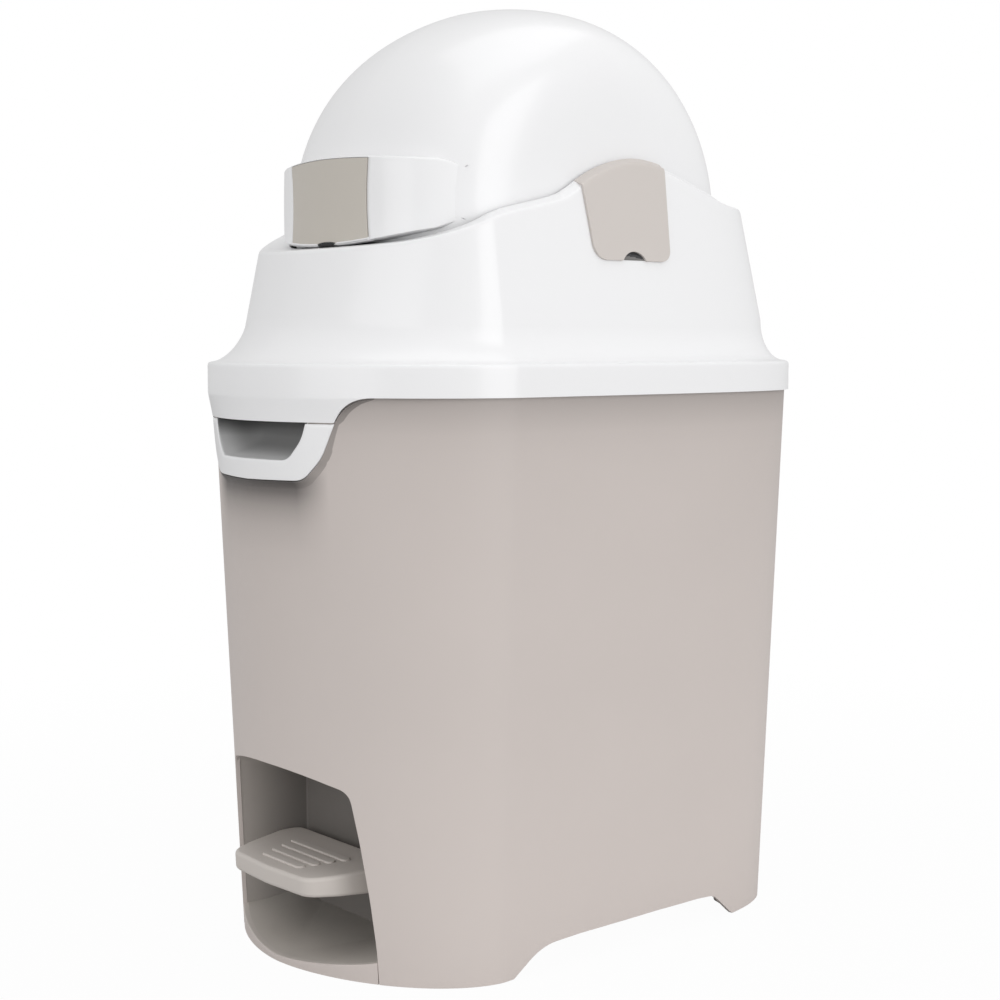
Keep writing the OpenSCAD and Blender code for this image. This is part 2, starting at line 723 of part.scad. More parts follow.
gear_x = -drum_half - 2.2 - gear_t;

module drive_pinion() color(cream) {
  difference() {
    union() {
      translate([gear_x, drum_y, drum_z]) rotate([90, 0, 90]) linear_extrude(gear_t) polygon(pinion_outline());
      bar_x(root_r - 0.3, gear_x + gear_t - 0.5, -drum_half - 0.1, drum_y, drum_z);
    }
    bar_x(pin_r + slide, gear_x - over, -drum_half + over, drum_y, drum_z);
  }
}

// The rack stands in front of the pinion, a tooth space facing the pinion tooth
rack_tall = 8;
rack_top = drum_z + 2.6;
module drive_rack() color(cream) {
  pitch = tooth_module * PI;
  tip_half = pitch / 4 - backlash / 4 - tooth_module * tan(tooth_angle);
  foot_half_w = pitch / 4 - backlash / 4 + 1.25 * tooth_module * tan(tooth_angle);
  root = rack_y - 1.25 * tooth_module;
  back = root - rack_tall;
  first = -ceil((lift + 5) / pitch);
  difference() {
    union() {
      prism_x([[back, part_z], [root + 0.02, part_z], [root + 0.02, rack_top], [back, rack_top]],
        gear_x, gear_x + gear_t);
      for (i = [first : 0]) {
        z = drum_z + (i - 0.5) * pitch;
        prism_x([[root, z - foot_half_w], [rack_y + tooth_module, z - tip_half],
          [rack_y + tooth_module, z + tip_half], [root, z + foot_half_w]], gear_x, gear_x + gear_t);
      }
      block([gear_x, rod_y - 5, part_z], [gear_x + gear_t, rack_y, part_z + 4]);
      prism_x([[rod_y - 5, part_z + 3], [back + 1, part_z + 14], [back + 1, part_z + 3]], gear_x, gear_x + gear_t);
    }
  }
}

guide_low = flare_z + 7;
guide_high = flare_z + 35;
function wall_in(z) = top_half - flare_side - lean_side * (z - flare_z) - head_wall;
function guide_screw_z() = [guide_low + 7, guide_high - 7];
module rack_guide() color(dark_greige) {
  back = rack_y - 1.25 * tooth_module - rack_tall;
  inner = gear_x + gear_t + slide + 0.2;
  difference() {
    prism_y([[inner, guide_low], [inner, guide_high], [-wall_in(guide_high) + 0.8, guide_high],
      [-wall_in(guide_low) + 0.8, guide_low]], back - 4, rack_y + 8);
    block([gear_x - slide, back - slide, guide_low - over],
      [inner + over, rack_y + tooth_module + slide, guide_high + over]);
    for (z = guide_screw_z())
      bar_x(1.45, -wall_in(z) - over, -wall_in(z) + 6, rack_y + 5.2, z, 24);
  }
}

module guide_screws() color(steel) {
  for (z = guide_screw_z())
    bar_x(1.4, -wall_in(z) - 1.4, -wall_in(z) + 5, rack_y + 5.2, z, 24);
}

// Head

// Height of the lip's outer edge above the bucket rim, by the distance behind the shoulder line
lip_table = [[-66, 88.5], [-45, 91], [-29, 95.5], [-16, 100.2], [3, 107.6], [18, 111.5], [31, 114], [45, 117],
  [59, 120.5], [66, 124], [74, 129.5], [84, 134.8], [96, 139.5], [108, 142.8], [120, 144.6], [132, 144.4], [146, 142],
  [160, 138.8], [178, 133.2], [196, 127.6], [216, 123], [260, 122]];
function lip_z(y) = rim_z + smooth_lookup(y - seam_y, lip_table, 7);

head_sides = 120;
function head_angles() = [for (i = [0 : head_sides - 1]) 360 * i / head_sides];
function side_inset(z) = flare_side + lean_side * (z - flare_z);
function nose_inset(z) = flare_nose + lean_nose * (z - flare_z);

// A point of the head wall at angle a and height z, moved in by g
function head_point(a, z, g = 0) =
  let (p = outline_point(a, top_half - side_inset(z) - g, top_nose - nose_inset(z) - g,
    top_tail - side_inset(z) - g))
  [p[0], p[1], z];
function edge_z(a) =
  let (s = side_inset(drum_z + 8), p = outline_point(a, top_half - s, top_nose - nose_inset(drum_z - 24), top_tail - s))
  lip_z(p[1]);
function wall_ring(g, drop) = [for (a = head_angles()) head_point(a, edge_z(a) - drop, g)];

// A level ring of the head, with its inset at nose, side and tail
function head_ring(f, s, t, z) =
  [for (a = head_angles()) let (p = outline_point(a, top_half - s, top_nose - f, top_tail - t)) [p[0], p[1], z]];

// The concave flare at step u, from 0 at the band to 1 at the wall, moved in by g
flare_from = band_top + 0.6;
function flare_ring(u, g = 0) =
  let (z = mix(flare_from, flare_z, u),
       s = pow(1 - pow(1 - u, 2), 1 / 2),
       f = pow(1 - pow(1 - u, 1.5), 1 / 1.5))
  head_ring(mix(-1.5, flare_nose, f) + g, mix(0, flare_side, s) + g, mix(0, flare_side, s) + g, z - g * 0.5);

// The opening follows the drum as seen from above, a gap away from it
function mouth_level(k, a, w, l) = pow(k * abs(cos(a)) / w, crown_power) + pow(k * abs(sin(a)) / l, shoulder_power);
function mouth_reach(a, w, l, lo, hi, n) = n == 0 ? (lo + hi) / 2
  : let (m = (lo + hi) / 2) mouth_level(m, a, w, l) < 1 ? mouth_reach(a, w, l, m, hi, n - 1)
  : mouth_reach(a, w, l, lo, m, n - 1);
function mouth_ring(drop, g = 0) = [for (a = head_angles())
  let (p = head_point(a, drum_z + 3, 8), b = atan2(p[1] - drum_y, p[0]),
       k = mouth_reach(b, drum_half + mouth_gap + g, drum_r + mouth_end_gap + g, 50, 300, 24))
  [k * cos(b), drum_y + k * sin(b), edge_z(a) + lip_rise - drop]];

flare_steps = [0.04, 0.14, 0.28, 0.45, 0.7, 1];
module head_shell() {
  ring_band(concat(
    [head_ring(-over_nose, -over_side, -over_tail, band_z)],
    [head_ring(-over_nose, -over_side, -over_tail, band_top - 1.6)],
    [head_ring(-over_nose + 1.2, -over_side + 1, -over_tail + 0.8, band_top)],
    [for (u = flare_steps) flare_ring(u)],
    [wall_ring(0, 1.5), wall_ring(1.2, 0)],
    [mouth_ring(0)],
    [mouth_ring(head_wall)],
    [wall_ring(head_wall, head_wall + 1.2)],
    [for (i = [len(flare_steps) - 1 : -1 : 0]) flare_ring(flare_steps[i], head_wall)],
    [head_ring(-over_nose + head_wall + 0.4, -over_side + head_wall, -over_tail + head_wall, band_top - 3.2)],
    [head_ring(-over_nose + head_wall, -over_side + head_wall, -over_tail + head_wall, band_z)]));
}

// Thick pad inside the side wall that carries the axle pin
boss_in = 7.2;
boss_w = 15;
module axle_boss(side) {
  z0 = drum_z - 17;
  z1 = drum_z + 14;
  function out(z) = top_half - side_inset(z) - 0.6;
  x = drum_half + boss_in;
  prism_y([[side * x, z0 + 3], [side * x, z1], [side * out(z1), z1], [side * out(z0), z0]],
    drum_y - boss_w, drum_y + boss_w);
}

module hood_knuckle(x0, x1) {
  in_y = seam_y + top_tail + over_tail - 1.2;
  difference() {
    union() {
      bar_x(knuckle_r, x0, x1, hinge_y, hinge_z);
      prism_x([[hinge_y - knuckle_r, hinge_z], [hinge_y + knuckle_r, hinge_z], [hinge_y + knuckle_r, band_z + 3],
        [in_y + 5, band_top - 3], [in_y, band_top - 3], [in_y, band_z + 1], [hinge_y - knuckle_r, band_z + 1]], x0, x1);
    }
    bar_x(hinge_pin_r + fit, x0 - over, x1 + over, hinge_y, hinge_z);
  }
}

catch_back = -86;
catch_z = rim_z + 9;
catch_half = 17.6;
catch_pin_r = 2;
lug_x = [18, 22];
module catch_lug(side) {
  y = seam_y + catch_back;
  difference() {
    block([min(side * lug_x[0], side * lug_x[1]), seam_y - top_nose - 1.6, band_z + 2.5],
      [max(side * lug_x[0], side * lug_x[1]), y + 6, catch_z + 5]);
    bar_x(catch_pin_r, -40, 40, y, catch_z);
  }
}

module front_tab() {
  intersection() {
    difference() {
      stack([body_ring(tab_z, 3.6), body_ring(band_z + 4, over_nose - 0.3)]);
      stack([body_ring(tab_z - over, 2), body_ring(band_z + 5, over_nose - head_wall + 0.2)]);
    }
    prism_y(concat([[-tab_half, tab_z - over], [tab_half, tab_z - over]],
      rounded([[tab_half, tab_z], [tab_top_half, band_z - 1.6], [tab_top_half + 14, band_z + 0.6], [tab_top_half + 14, band_z + 3],
        [-tab_top_half - 14, band_z + 3], [-tab_top_half - 14, band_z + 0.6], [-tab_top_half, band_z - 1.6],
        [-tab_half, tab_z]], [0, 9, 0, 0, 0, 0, 9, 0], 4)), seam_y - 140, seam_y - 20);
  }
}

module hood() color(white) {
  difference() {
    union() {
      head_shell();
      front_tab();
      for (side = [-1, 1]) {
        axle_boss(side);
        catch_lug(side);
      }
      for (s = knuckle_spans)
        hood_knuckle(s[0], s[1]);
    }
    for (side = [-1, 1])
      bar_x(pin_r, side < 0 ? -130 : 100, side < 0 ? -100 : 130, drum_y, drum_z);
    for (z = guide_screw_z())
      bar_x(1.45, -wall_in(z) - 1.5, -wall_in(z) + 5, rack_y + 5.2, z, 24);
  }
}

// Soft lip under the edge of the opening
seal_h = 7;
module odour_seal() color(black) {
  ring_band([mouth_ring(head_wall + seal_h, -1.1), mouth_ring(head_wall + seal_h, 0.3),
    mouth_ring(head_wall + 3.6, 0.3), mouth_ring(head_wall + 0.6, -1.1)]);
}

// Gasket between the head and the bucket, carried inside the rim band
module rim_gasket() color(black) {
  difference() {
    body_solid(rim_z + 0.4, rim_z + 4.4, 0.3 - over_tail + 1.4 - 0.9);
    body_solid(rim_z - over, rim_z + 6, -3.6);
    prism_y([[-70, rim_z - 2], [70, rim_z - 2], [70, rim_z + 8], [-70, rim_z + 8]], seam_y - 140, seam_y - 30);
  }
}

module hinge_pins() color(steel) {
  for (side = [-1, 1])
    bar_x(hinge_pin_r, side * 43 - 19, side * 43 + 19, hinge_y, hinge_z);
}

module catch_pin() color(steel) {
  bar_x(catch_pin_r, -lug_x[1], lug_x[1], seam_y + catch_back, catch_z);
}

module catch_spring() color(steel) {
  y = seam_y + catch_back;
  difference() {
    bar_x(4.2, 10, 17, y, catch_z);
    bar_x(2.3, 9, 18, y, catch_z);
  }
  block([15, y - 1, catch_z + 2.6], [17, y + 1, catch_z + 4.6]);
}

keeper_y = seam_y - top_nose + pocket_deep - 4;
module head_catch() color(greige) {
  y = seam_y + catch_back;
  difference() {
    union() {
      bar_x(4.5, -catch_half, 9.4, y, catch_z);
      block([-catch_half, y - 2.2, rim_z - 11], [9.4, y + 0.8, catch_z]);
      prism_x([[y, rim_z - 11], [keeper_y - seat, rim_z - 8], [keeper_y - seat, rim_z - 7], [y, rim_z - 7]],
        -catch_half, 9.4);
    }
    bar_x(catch_pin_r + fit, -40, 40, y, catch_z);
  }
}

module axle_pin(side) color(steel) {
  out = top_half - side_inset(drum_z + pin_r) - 0.2;
  x0 = side < 0 ? -out : drum_half - 12;
  x1 = side < 0 ? -drum_half + 12 : out;
  bar_x(pin_r, x0, x1, drum_y, drum_z);
}

// Cover plate over the end of an axle pin, bent over the lip
pad_gap = 0.25;
// Half width of the head at a height and a place, grown by g
function head_half(y, z, g) =
  let (w = top_half - side_inset(z) + g, l = top_tail - side_inset(z) + g)
  w * pow(1 - pow(abs(y - seam_y) / l, tail_power), 1 / tail_power);
function pad_section(side, y) =
  let (low = side_pad_z - 3, e = lip_z(y), g = pad_gap, t = side_pad_t, m = drum_half + mouth_gap + 0.6)
  [for (q = [[head_half(y, low, g), low], [head_half(y, low, g + t), low], [head_half(y, e, g + t), e - 0.4],
    [head_half(y, e, t - 1.4), e + t - 0.4], [m, e + lip_rise + t], [m, e + lip_rise + 0.4],
    [head_half(y, e, g - 1.2), e + 0.5], [head_half(y, e, g), e - 1]]) [side * q[0], y, q[1]]];
module side_pad(side) color(greige) {
  mid = seam_y + side_pad_back;
  w = side_pad_w / 2;
  low = side_pad_z;
  front = rounded([[mid - w, low], [mid + w, low], [mid + w + 2, low + 48], [mid + w - 8, low + 70], [mid - w + 8, low + 70],
    [mid - w - 4, low + 40]], [12, 8, 4, 3, 3, 3], 5);
  ys = [for (i = [0 : 12]) mid - side * (w + 6) * (i / 6 - 1)];
  intersection() {
    difference() {
      stack([for (y = ys) pad_section(side, y)]);
      translate([side < 0 ? -140 : 90, mid, low]) rotate([0, 90, 0]) cylinder(r = 9, h = 50, $fn = 40);
    }
    prism_x(front, -140, 140);
  }
}

// Drum

// Half profile of the drum from its middle to a hub of radius hub, at offset g inward
function drum_profile(g, hub, n = 16) =
  [for (i = [0 : n]) let (t = 88.5 * i / n)
    [(drum_r - g) * pow(cos(t), 2 / shoulder_power), (drum_half - g) * pow(sin(t), 2 / crown_power)]];

// The drum as a turned solid about X, shrunk by g
module drum_solid(g = 0) {
  p = drum_profile(g, 0);
  m = len(p);
  half = drum_half - g;
  outline = concat([for (i = [m - 1 : -1 : 1]) [p[i][0], -p[i][1]]], [for (q = p) q]);
  translate([0, drum_y, drum_z]) rotate([0, 90, 0]) rotate_extrude($fn = 96)
    polygon(concat([[0, -half]], [for (q = outline) q], [[0, half]]));
}

bush_r = pin_r + bush_wall;
hub_in = 12;
module dome() color(white) {
  difference() {
    union() {
      difference() {
        drum_solid();
        drum_solid(drum_wall);
      }
      for (side = [-1, 1])
        bar_x(bush_r + 2.4, side < 0 ? -drum_half + 0.8 : drum_half - hub_in,
          side < 0 ? -drum_half + hub_in : drum_half - 0.8, drum_y, drum_z);
    }
    block([-160, drum_y - 200, drum_z - 200], [160, drum_y + 200, drum_z - split_below]);
    for (side = [-1, 1])
      bar_x(bush_r, side < 0 ? -drum_half - 5 : drum_half - hub_in - over,
        side < 0 ? -drum_half + hub_in + over : drum_half + 5, drum_y, drum_z);
  }
}

module hub_bush(side) color(cream) {
  x0 = side < 0 ? -drum_half : drum_half - hub_in;
  difference() {
    bar_x(bush_r, x0, x0 + hub_in, drum_y, drum_z);
    bar_x(pin_r + fit, x0 - over, x0 + hub_in + over, drum_y, drum_z);
  }
}

scoop_from = -4;
scoop_tabs = [40, 90];
module scoop() color(white) {
  top = drum_z - split_below - seat;
  difference() {
    intersection() {
      difference() {
        drum_solid();
        drum_solid(drum_wall);
      }
      block([-160, drum_y + scoop_from, drum_z - 200], [160, drum_y + 200, top]);
    }
  }
  for (side = [-1, 1], back = scoop_tabs)
    scoop_tab(side, back);
}

// Tabs of the scoop that reach up inside the dome, and their screws
tab_t = 2.2;
function cheek_in(back) =
  let (r = norm([back, split_below + 12]) / (drum_r - drum_wall))
  (drum_half - drum_wall) * pow(1 - pow(r, shoulder_power), 1 / crown_power);
module scoop_tab(side, back) {
  x = cheek_in(back) - 1.4;
  block([min(side * (x - tab_t), side * (x + 2.2)), drum_y + back - 7, drum_z - split_below - 14],
    [max(side * (x - tab_t), side * (x + 2.2)), drum_y + back + 7, drum_z - split_below - seat - 0.2]);
  block([min(side * (x - tab_t), side * x), drum_y + back - 7, drum_z - split_below - 8],
    [max(side * (x - tab_t), side * x), drum_y + back + 7, drum_z - split_below + 10]);
}

module scoop_screws() color(steel) {
  for (side = [-1, 1], back = scoop_tabs) {
    x = cheek_in(back) - 1.4 - tab_t;
    bar_x(2.6, side < 0 ? -x : x - 1.6, side < 0 ? -x + 1.6 : x, drum_y + back, drum_z - split_below + 5, 24);
  }
}

// Visor: a raised band on the front of the drum that runs out to nothing at its ends
function visor_bottom(x) = drum_z - visor_low + visor_rise * pow(abs(x) / 90, 2.1);
function visor_top(x) = drum_z + visor_high - visor_fall * pow(abs(x) / 90, 2);
function drum_reach(x) = drum_r * pow(1 - pow(abs(x) / drum_half, crown_power), 1 / shoulder_power);
function visor_face(x) = drum_y - drum_reach(x) - visor_out * (1 - pow(abs(x) / (visor_half + 1), 7)) - 0.4;
visor_steps = 14;
function visor_x(i) = visor_half * sin(90 * i / visor_steps);

// Front of the visor's section at x, from its top edge round to its lower edge
visor_soft = 3;
function visor_front(x) =
  let (f = visor_face(x), z0 = visor_bottom(x), z1 = visor_top(x), s = visor_soft)
  [[x, f + s * 1.6, z1], [x, f + s * 0.4, z1 - s * 0.7], [x, f, z1 - s * 2.4],
   [x, f, z0 + s * 1.6], [x, f + s * 0.3, z0 + s * 0.4], [x, f + s, z0]];
function visor_stations(reach) =
  [for (i = [-visor_steps : visor_steps]) let (x = visor_x(i)) if (abs(x) < reach - 2) x];

// The visor as a solid block that runs back into the drum
module visor_block() {
  stack([for (i = [-visor_steps : visor_steps]) let (x = visor_x(i), b = drum_y - drum_r * 0.6)
    concat([[x, b, visor_bottom(x)], [x, b, visor_top(x)]], visor_front(x))]);
}

// The hollow behind the visor, one wall inside it
visor_wall = 2.6;
module visor_hollow() {
  w = visor_wall;
  reach = visor_half - 9;
  deep = plate_t + w;
  stack([for (i = [-visor_steps : visor_steps]) let (x = reach * sin(90 * i / visor_steps), b = drum_y - drum_r * 0.58,
      f = visor_face(x) + deep + 1, z0 = visor_bottom(x) + w, z1 = visor_top(x) - w)
    [[x, b, z0], [x, b, z1], [x, f + 2, z1], [x, f, z1 - 4], [x, f, z0 + 4], [x, f + 2, z0]]]);
}

module visor() color(white) {
  difference() {
    visor_block();
    visor_hollow();
    drum_solid(-0.1);
    stack([for (x = concat([-plate_half], visor_stations(plate_half), [plate_half])) let (f = visor_face(x) + plate_t)
      [[x, f, visor_bottom(x) - 2], [x, f, visor_top(x) + 2], [x, f - 20, visor_top(x) + 2],
       [x, f - 20, visor_bottom(x) - 2]]]);
  }
}

module visor_plate() color(greige) {
  reach = plate_half - 0.25;
  difference() {
    stack([for (x = concat([-reach], visor_stations(reach), [reach])) let (f = visor_face(x) + plate_t - 0.15)
      concat([[x, f, visor_bottom(x)], [x, f, visor_top(x)]], visor_front(x))]);
    translate([0, drum_y - 100, visor_bottom(0) - 1.5]) rotate([90, 0, 0]) cylinder(r = 5, h = 100, $fn = 32);
  }
}

bucket();
pedal_well();
mechanism_cover();
rod_guide();
bag_ring();
finger_cup();
rubber_feet();
pedal_bracket(bracket_x[0]);  // pedal_bracket_left
pedal_bracket(bracket_x[1]);  // pedal_bracket_right
bracket_screws();
cover_screws();
pedal_return_spring();
hinge_pins();
pedal();
pedal_axle();
lift_arm();
lift_roller();
roller_pin();
axle_clips();
lift_rod();
rod_foot();
drive_rack();
hood();
odour_seal();
rim_gasket();
rack_guide();
guide_screws();
axle_pin(-1);  // axle_pin_left
axle_pin(1);  // axle_pin_right
side_pad(-1);  // side_pad_left
side_pad(1);  // side_pad_right
catch_pin();
catch_spring();
head_catch();
dome();
scoop();
scoop_screws();
visor();
visor_plate();
hub_bush(-1);  // hub_bush_left
hub_bush(1);  // hub_bush_right
drive_pinion();
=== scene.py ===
import math

import bmesh
import bpy
from mathutils import Matrix, Vector


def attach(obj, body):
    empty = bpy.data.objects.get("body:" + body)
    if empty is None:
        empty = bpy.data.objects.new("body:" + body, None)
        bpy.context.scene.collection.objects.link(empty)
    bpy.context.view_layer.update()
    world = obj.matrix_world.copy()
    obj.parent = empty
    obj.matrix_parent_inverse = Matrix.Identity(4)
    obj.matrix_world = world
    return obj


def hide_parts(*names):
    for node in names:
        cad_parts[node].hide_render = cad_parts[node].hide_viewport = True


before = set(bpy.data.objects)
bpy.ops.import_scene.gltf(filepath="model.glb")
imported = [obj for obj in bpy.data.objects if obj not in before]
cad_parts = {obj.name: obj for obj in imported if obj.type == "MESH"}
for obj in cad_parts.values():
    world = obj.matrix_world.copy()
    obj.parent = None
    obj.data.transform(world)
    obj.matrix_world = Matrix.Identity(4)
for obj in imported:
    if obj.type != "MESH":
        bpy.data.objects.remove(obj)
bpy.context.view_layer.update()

# Sizes of the bin in millimetres, as in the CAD model
SEAM = -93.15
RIM = 358.0
TOP = (137.0, 103.2, 282.2)
FOOT = (123.0, 86.4, 272.6)
NOSE_POWER = 1.776
TAIL_POWER = 4.93
WALL = 2.8
FOOT_Z = 0.2
FLOOR_Z = 21.5
DRUM_Y, DRUM_Z = 7.85, 472.0
DRUM_R, DRUM_HALF = 137.0, 100.0
CROWN_POWER, SHOULDER_POWER = 1.7, 7.0
SPLIT_Z = DRUM_Z - 21.0
BAND_Z = RIM - 0.5
BAND_TOP = RIM + 19.0
FLARE_Z = RIM + 47.0
FLARE_NOSE, FLARE_SIDE = 27.3, 14.0
LEAN_NOSE, LEAN_SIDE = 0.24, 0.165
TAB_HALF, TAB_TOP_HALF, TAB_Z = 69.5, 77.0, RIM - 15.4
CUP_Z, POCKET_Z, POCKET_HALF, POCKET_DEEP = RIM - 50.5, RIM - 38.5, 53.5, 31.0
WELL_FOOT, WELL_TOP, WELL_CORNER, WELL_CROWN, WELL_BACK = 77.8, 65.5, 118.5, 8.5, 25.0
PAD_MID, PAD_W, PAD_Z = SEAM + 109, 33.5, RIM + 83.0
PIVOT_Y, PIVOT_Z = SEAM + 23.0, 62.0
LIP = [(-66, 88.5), (-45, 91), (-29, 95.5), (-16, 100.2), (3, 107.6), (18, 111.5), (31, 114), (45, 117), (59, 120.5),
       (66, 124), (74, 129.5), (84, 134.8), (96, 139.5), (108, 142.8), (120, 144.6), (132, 144.4), (146, 142),
       (160, 138.8), (178, 133.2), (196, 127.6), (216, 123), (260, 122)]


def mix(a, b, t):
    return a + (b - a) * t


def smooth(t):
    t = min(1.0, max(0.0, t))
    return t * t * (3 - 2 * t)


def lookup(x, table):
    if x <= table[0][0]:
        return table[0][1]
    for (x0, y0), (x1, y1) in zip(table, table[1:]):
        if x <= x1:
            return mix(y0, y1, (x - x0) / (x1 - x0))
    return table[-1][1]


def outline(a, w, f, t):
    """A point of the body outline at angle a in degrees, with half width w, nose length f and tail length t."""
    c, s = math.cos(math.radians(a)), math.sin(math.radians(a))
    power, length = (NOSE_POWER, f) if s < 0 else (TAIL_POWER, t)
    k = (abs(c) ** power + abs(s) ** power) ** (-1 / power)
    return w * c * k, SEAM + length * s * k


def body(a, z, g=0.0):
    w, f, t = (mix(lo, hi, z / RIM) + g for lo, hi in zip(FOOT, TOP))
    return outline(a, w, f, t)


def nose_y(x, z, g=0.0):
    """Front of the tapered body at x and height z, grown by g."""
    w, f, _ = (mix(lo, hi, z / RIM) + g for lo, hi in zip(FOOT, TOP))
    return SEAM - f * (1 - min(1, abs(x) / w) ** NOSE_POWER) ** (1 / NOSE_POWER)


def rounded(points, radii, n=8):
    """The corners of an outline rounded with a radius each."""
    out = []
    for i, (p, r) in enumerate(zip(points, radii)):
        if not r:
            out.append(tuple(p))
            continue
        b = Vector(p)
        u = (Vector(points[i - 1]) - b).normalized()
        v = (Vector(points[(i + 1) % len(points)]) - b).normalized()
        half = u.angle(v) / 2
        centre = b + (u + v).normalized() * r / math.sin(half)
        s, e = b + u * r / math.tan(half) - centre, b + v * r / math.tan(half) - centre
        a0 = math.atan2(s.y, s.x)
        turn = math.atan2(s.x * e.y - s.y * e.x, s.dot(e))
        out += [(centre.x + r * math.cos(a0 + turn * j / n), centre.y + r * math.sin(a0 + turn * j / n)) for j in range(n + 1)]
    return out


def inside(outline_points, u, v):
    found = False
    for (u0, v0), (u1, v1) in zip(outline_points, outline_points[1:] + outline_points[:1]):
        if (v0 > v) != (v1 > v) and u < (u1 - u0) * (v - v0) / (v1 - v0) + u0:
            found = not found
    return found


def edge_between(clear, cut, is_cut, n=22):
    """The height between clear and cut where a column first meets a cut."""
    for _ in range(n):
        m = (clear + cut) / 2
        clear, cut = (clear, m) if is_cut(m) else (m, cut)
    return (clear + cut) / 2


def path_at(points, n):
    """n + 1 points evenly spaced along an open polyline."""
    pts = [Vector(p) for p in points]
    steps = [(b - a).length for a, b in zip(pts, pts[1:])]
    total, out, k, run = sum(steps), [], 0, 0.0
    for i in range(n + 1):
        want = total * i / n
        while k < len(steps) - 1 and run + steps[k] < want:
            run += steps[k]
            k += 1
        out.append(pts[k].lerp(pts[k + 1], min(1, (want - run) / steps[k])))
    return out


# Pieces


def to_piece(bm, name, ride, material, replaces=(), face_to=None, away=None, thick=0.0, bevel=0.0, angle=35, segments=3,
             weld=0.002, even=True):
    """Makes an object from mesh bm, drawn in millimetres, its faces turned to or away from a point."""
    if weld:
        bmesh.ops.remove_doubles(bm, verts=bm.verts, dist=weld)
    bmesh.ops.recalc_face_normals(bm, faces=bm.faces)
    if face_to or away:
        p = Vector(face_to or away)
        lean = sum(f.normal.dot(p - f.calc_center_median()) * f.calc_area() for f in bm.faces)
        if (lean < 0) == bool(face_to):
            bmesh.ops.reverse_faces(bm, faces=bm.faces)
    bmesh.ops.scale(bm, vec=(0.001, 0.001, 0.001), verts=bm.verts)
    for f in bm.faces:
        f.smooth = True
    mesh = bpy.data.meshes.new(name)
    bm.to_mesh(mesh)
    bm.free()
    piece = bpy.data.objects.new(name, mesh)
    bpy.context.scene.collection.objects.link(piece)
    mesh.materials.append(material)
    if thick:
        m = piece.modifiers.new("thickness", "SOLIDIFY")
        m.thickness, m.offset, m.use_even_offset = thick * 0.001, -1, even
    if bevel:
        m = piece.modifiers.new("edges", "BEVEL")
        m.width, m.segments, m.limit_method, m.angle_limit = bevel * 0.001, segments, "ANGLE", math.radians(angle)
        m.use_clamp_overlap = True
    m = piece.modifiers.new("shading", "WEIGHTED_NORMAL")
    m.keep_sharp = True
    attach(piece, ride)
    if replaces:
        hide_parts(*replaces)
    return piece


def sheet(columns, rows, place):
    """A grid of columns by rows faces, each vertex put where place(column, row) says."""
    bm = bmesh.new()
    bmesh.ops.create_grid(bm, x_segments=columns, y_segments=rows, size=0.5)
    for v in bm.verts:
        v.co = place(round((v.co.x + 0.5) * columns), round((v.co.y + 0.5) * rows))
    return bm


def prism(points, axis, a, b, bm=None):
    """An outline extruded along X, Y or Z from a to b."""
    bm = bm or bmesh.new()
    turn = {"x": lambda p: (a, p[0], p[1]), "y": lambda p: (p[0], a, p[1]), "z": lambda p: (p[0], p[1], a)}[axis]
    face = bm.faces.new([bm.verts.new(turn(p)) for p in points])
    out = bmesh.ops.extrude_face_region(bm, geom=[face])
    move = Vector({"x": (b - a, 0, 0), "y": (0, b - a, 0), "z": (0, 0, b - a)}[axis])
    bmesh.ops.translate(bm, vec=move, verts=[g for g in out["geom"] if isinstance(g, bmesh.types.BMVert)])
    return bm


def bar(bm, r, a, b, y, z, n=40):
    """A round bar along X from a to b."""
    at = Matrix.Translation(((a + b) / 2, y, z)) @ Matrix.Rotation(math.pi / 2, 4, "Y")
    bmesh.ops.create_cone(bm, cap_ends=True, segments=n, radius1=r, radius2=r, depth=b - a, matrix=at)
    return bm


def box_at(bm, lo, hi):
    at = Matrix.LocRotScale([(a + b) / 2 for a, b in zip(lo, hi)], None, [b - a for a, b in zip(lo, hi)])
    bmesh.ops.create_cube(bm, size=1, matrix=at)
    return bm


# Materials


def srgb(r, g, b):
    return tuple((c / 255 / 12.92) if c <= 10 else ((c / 255 + 0.055) / 1.055) ** 2.4 for c in (r, g, b)) + (1.0,)


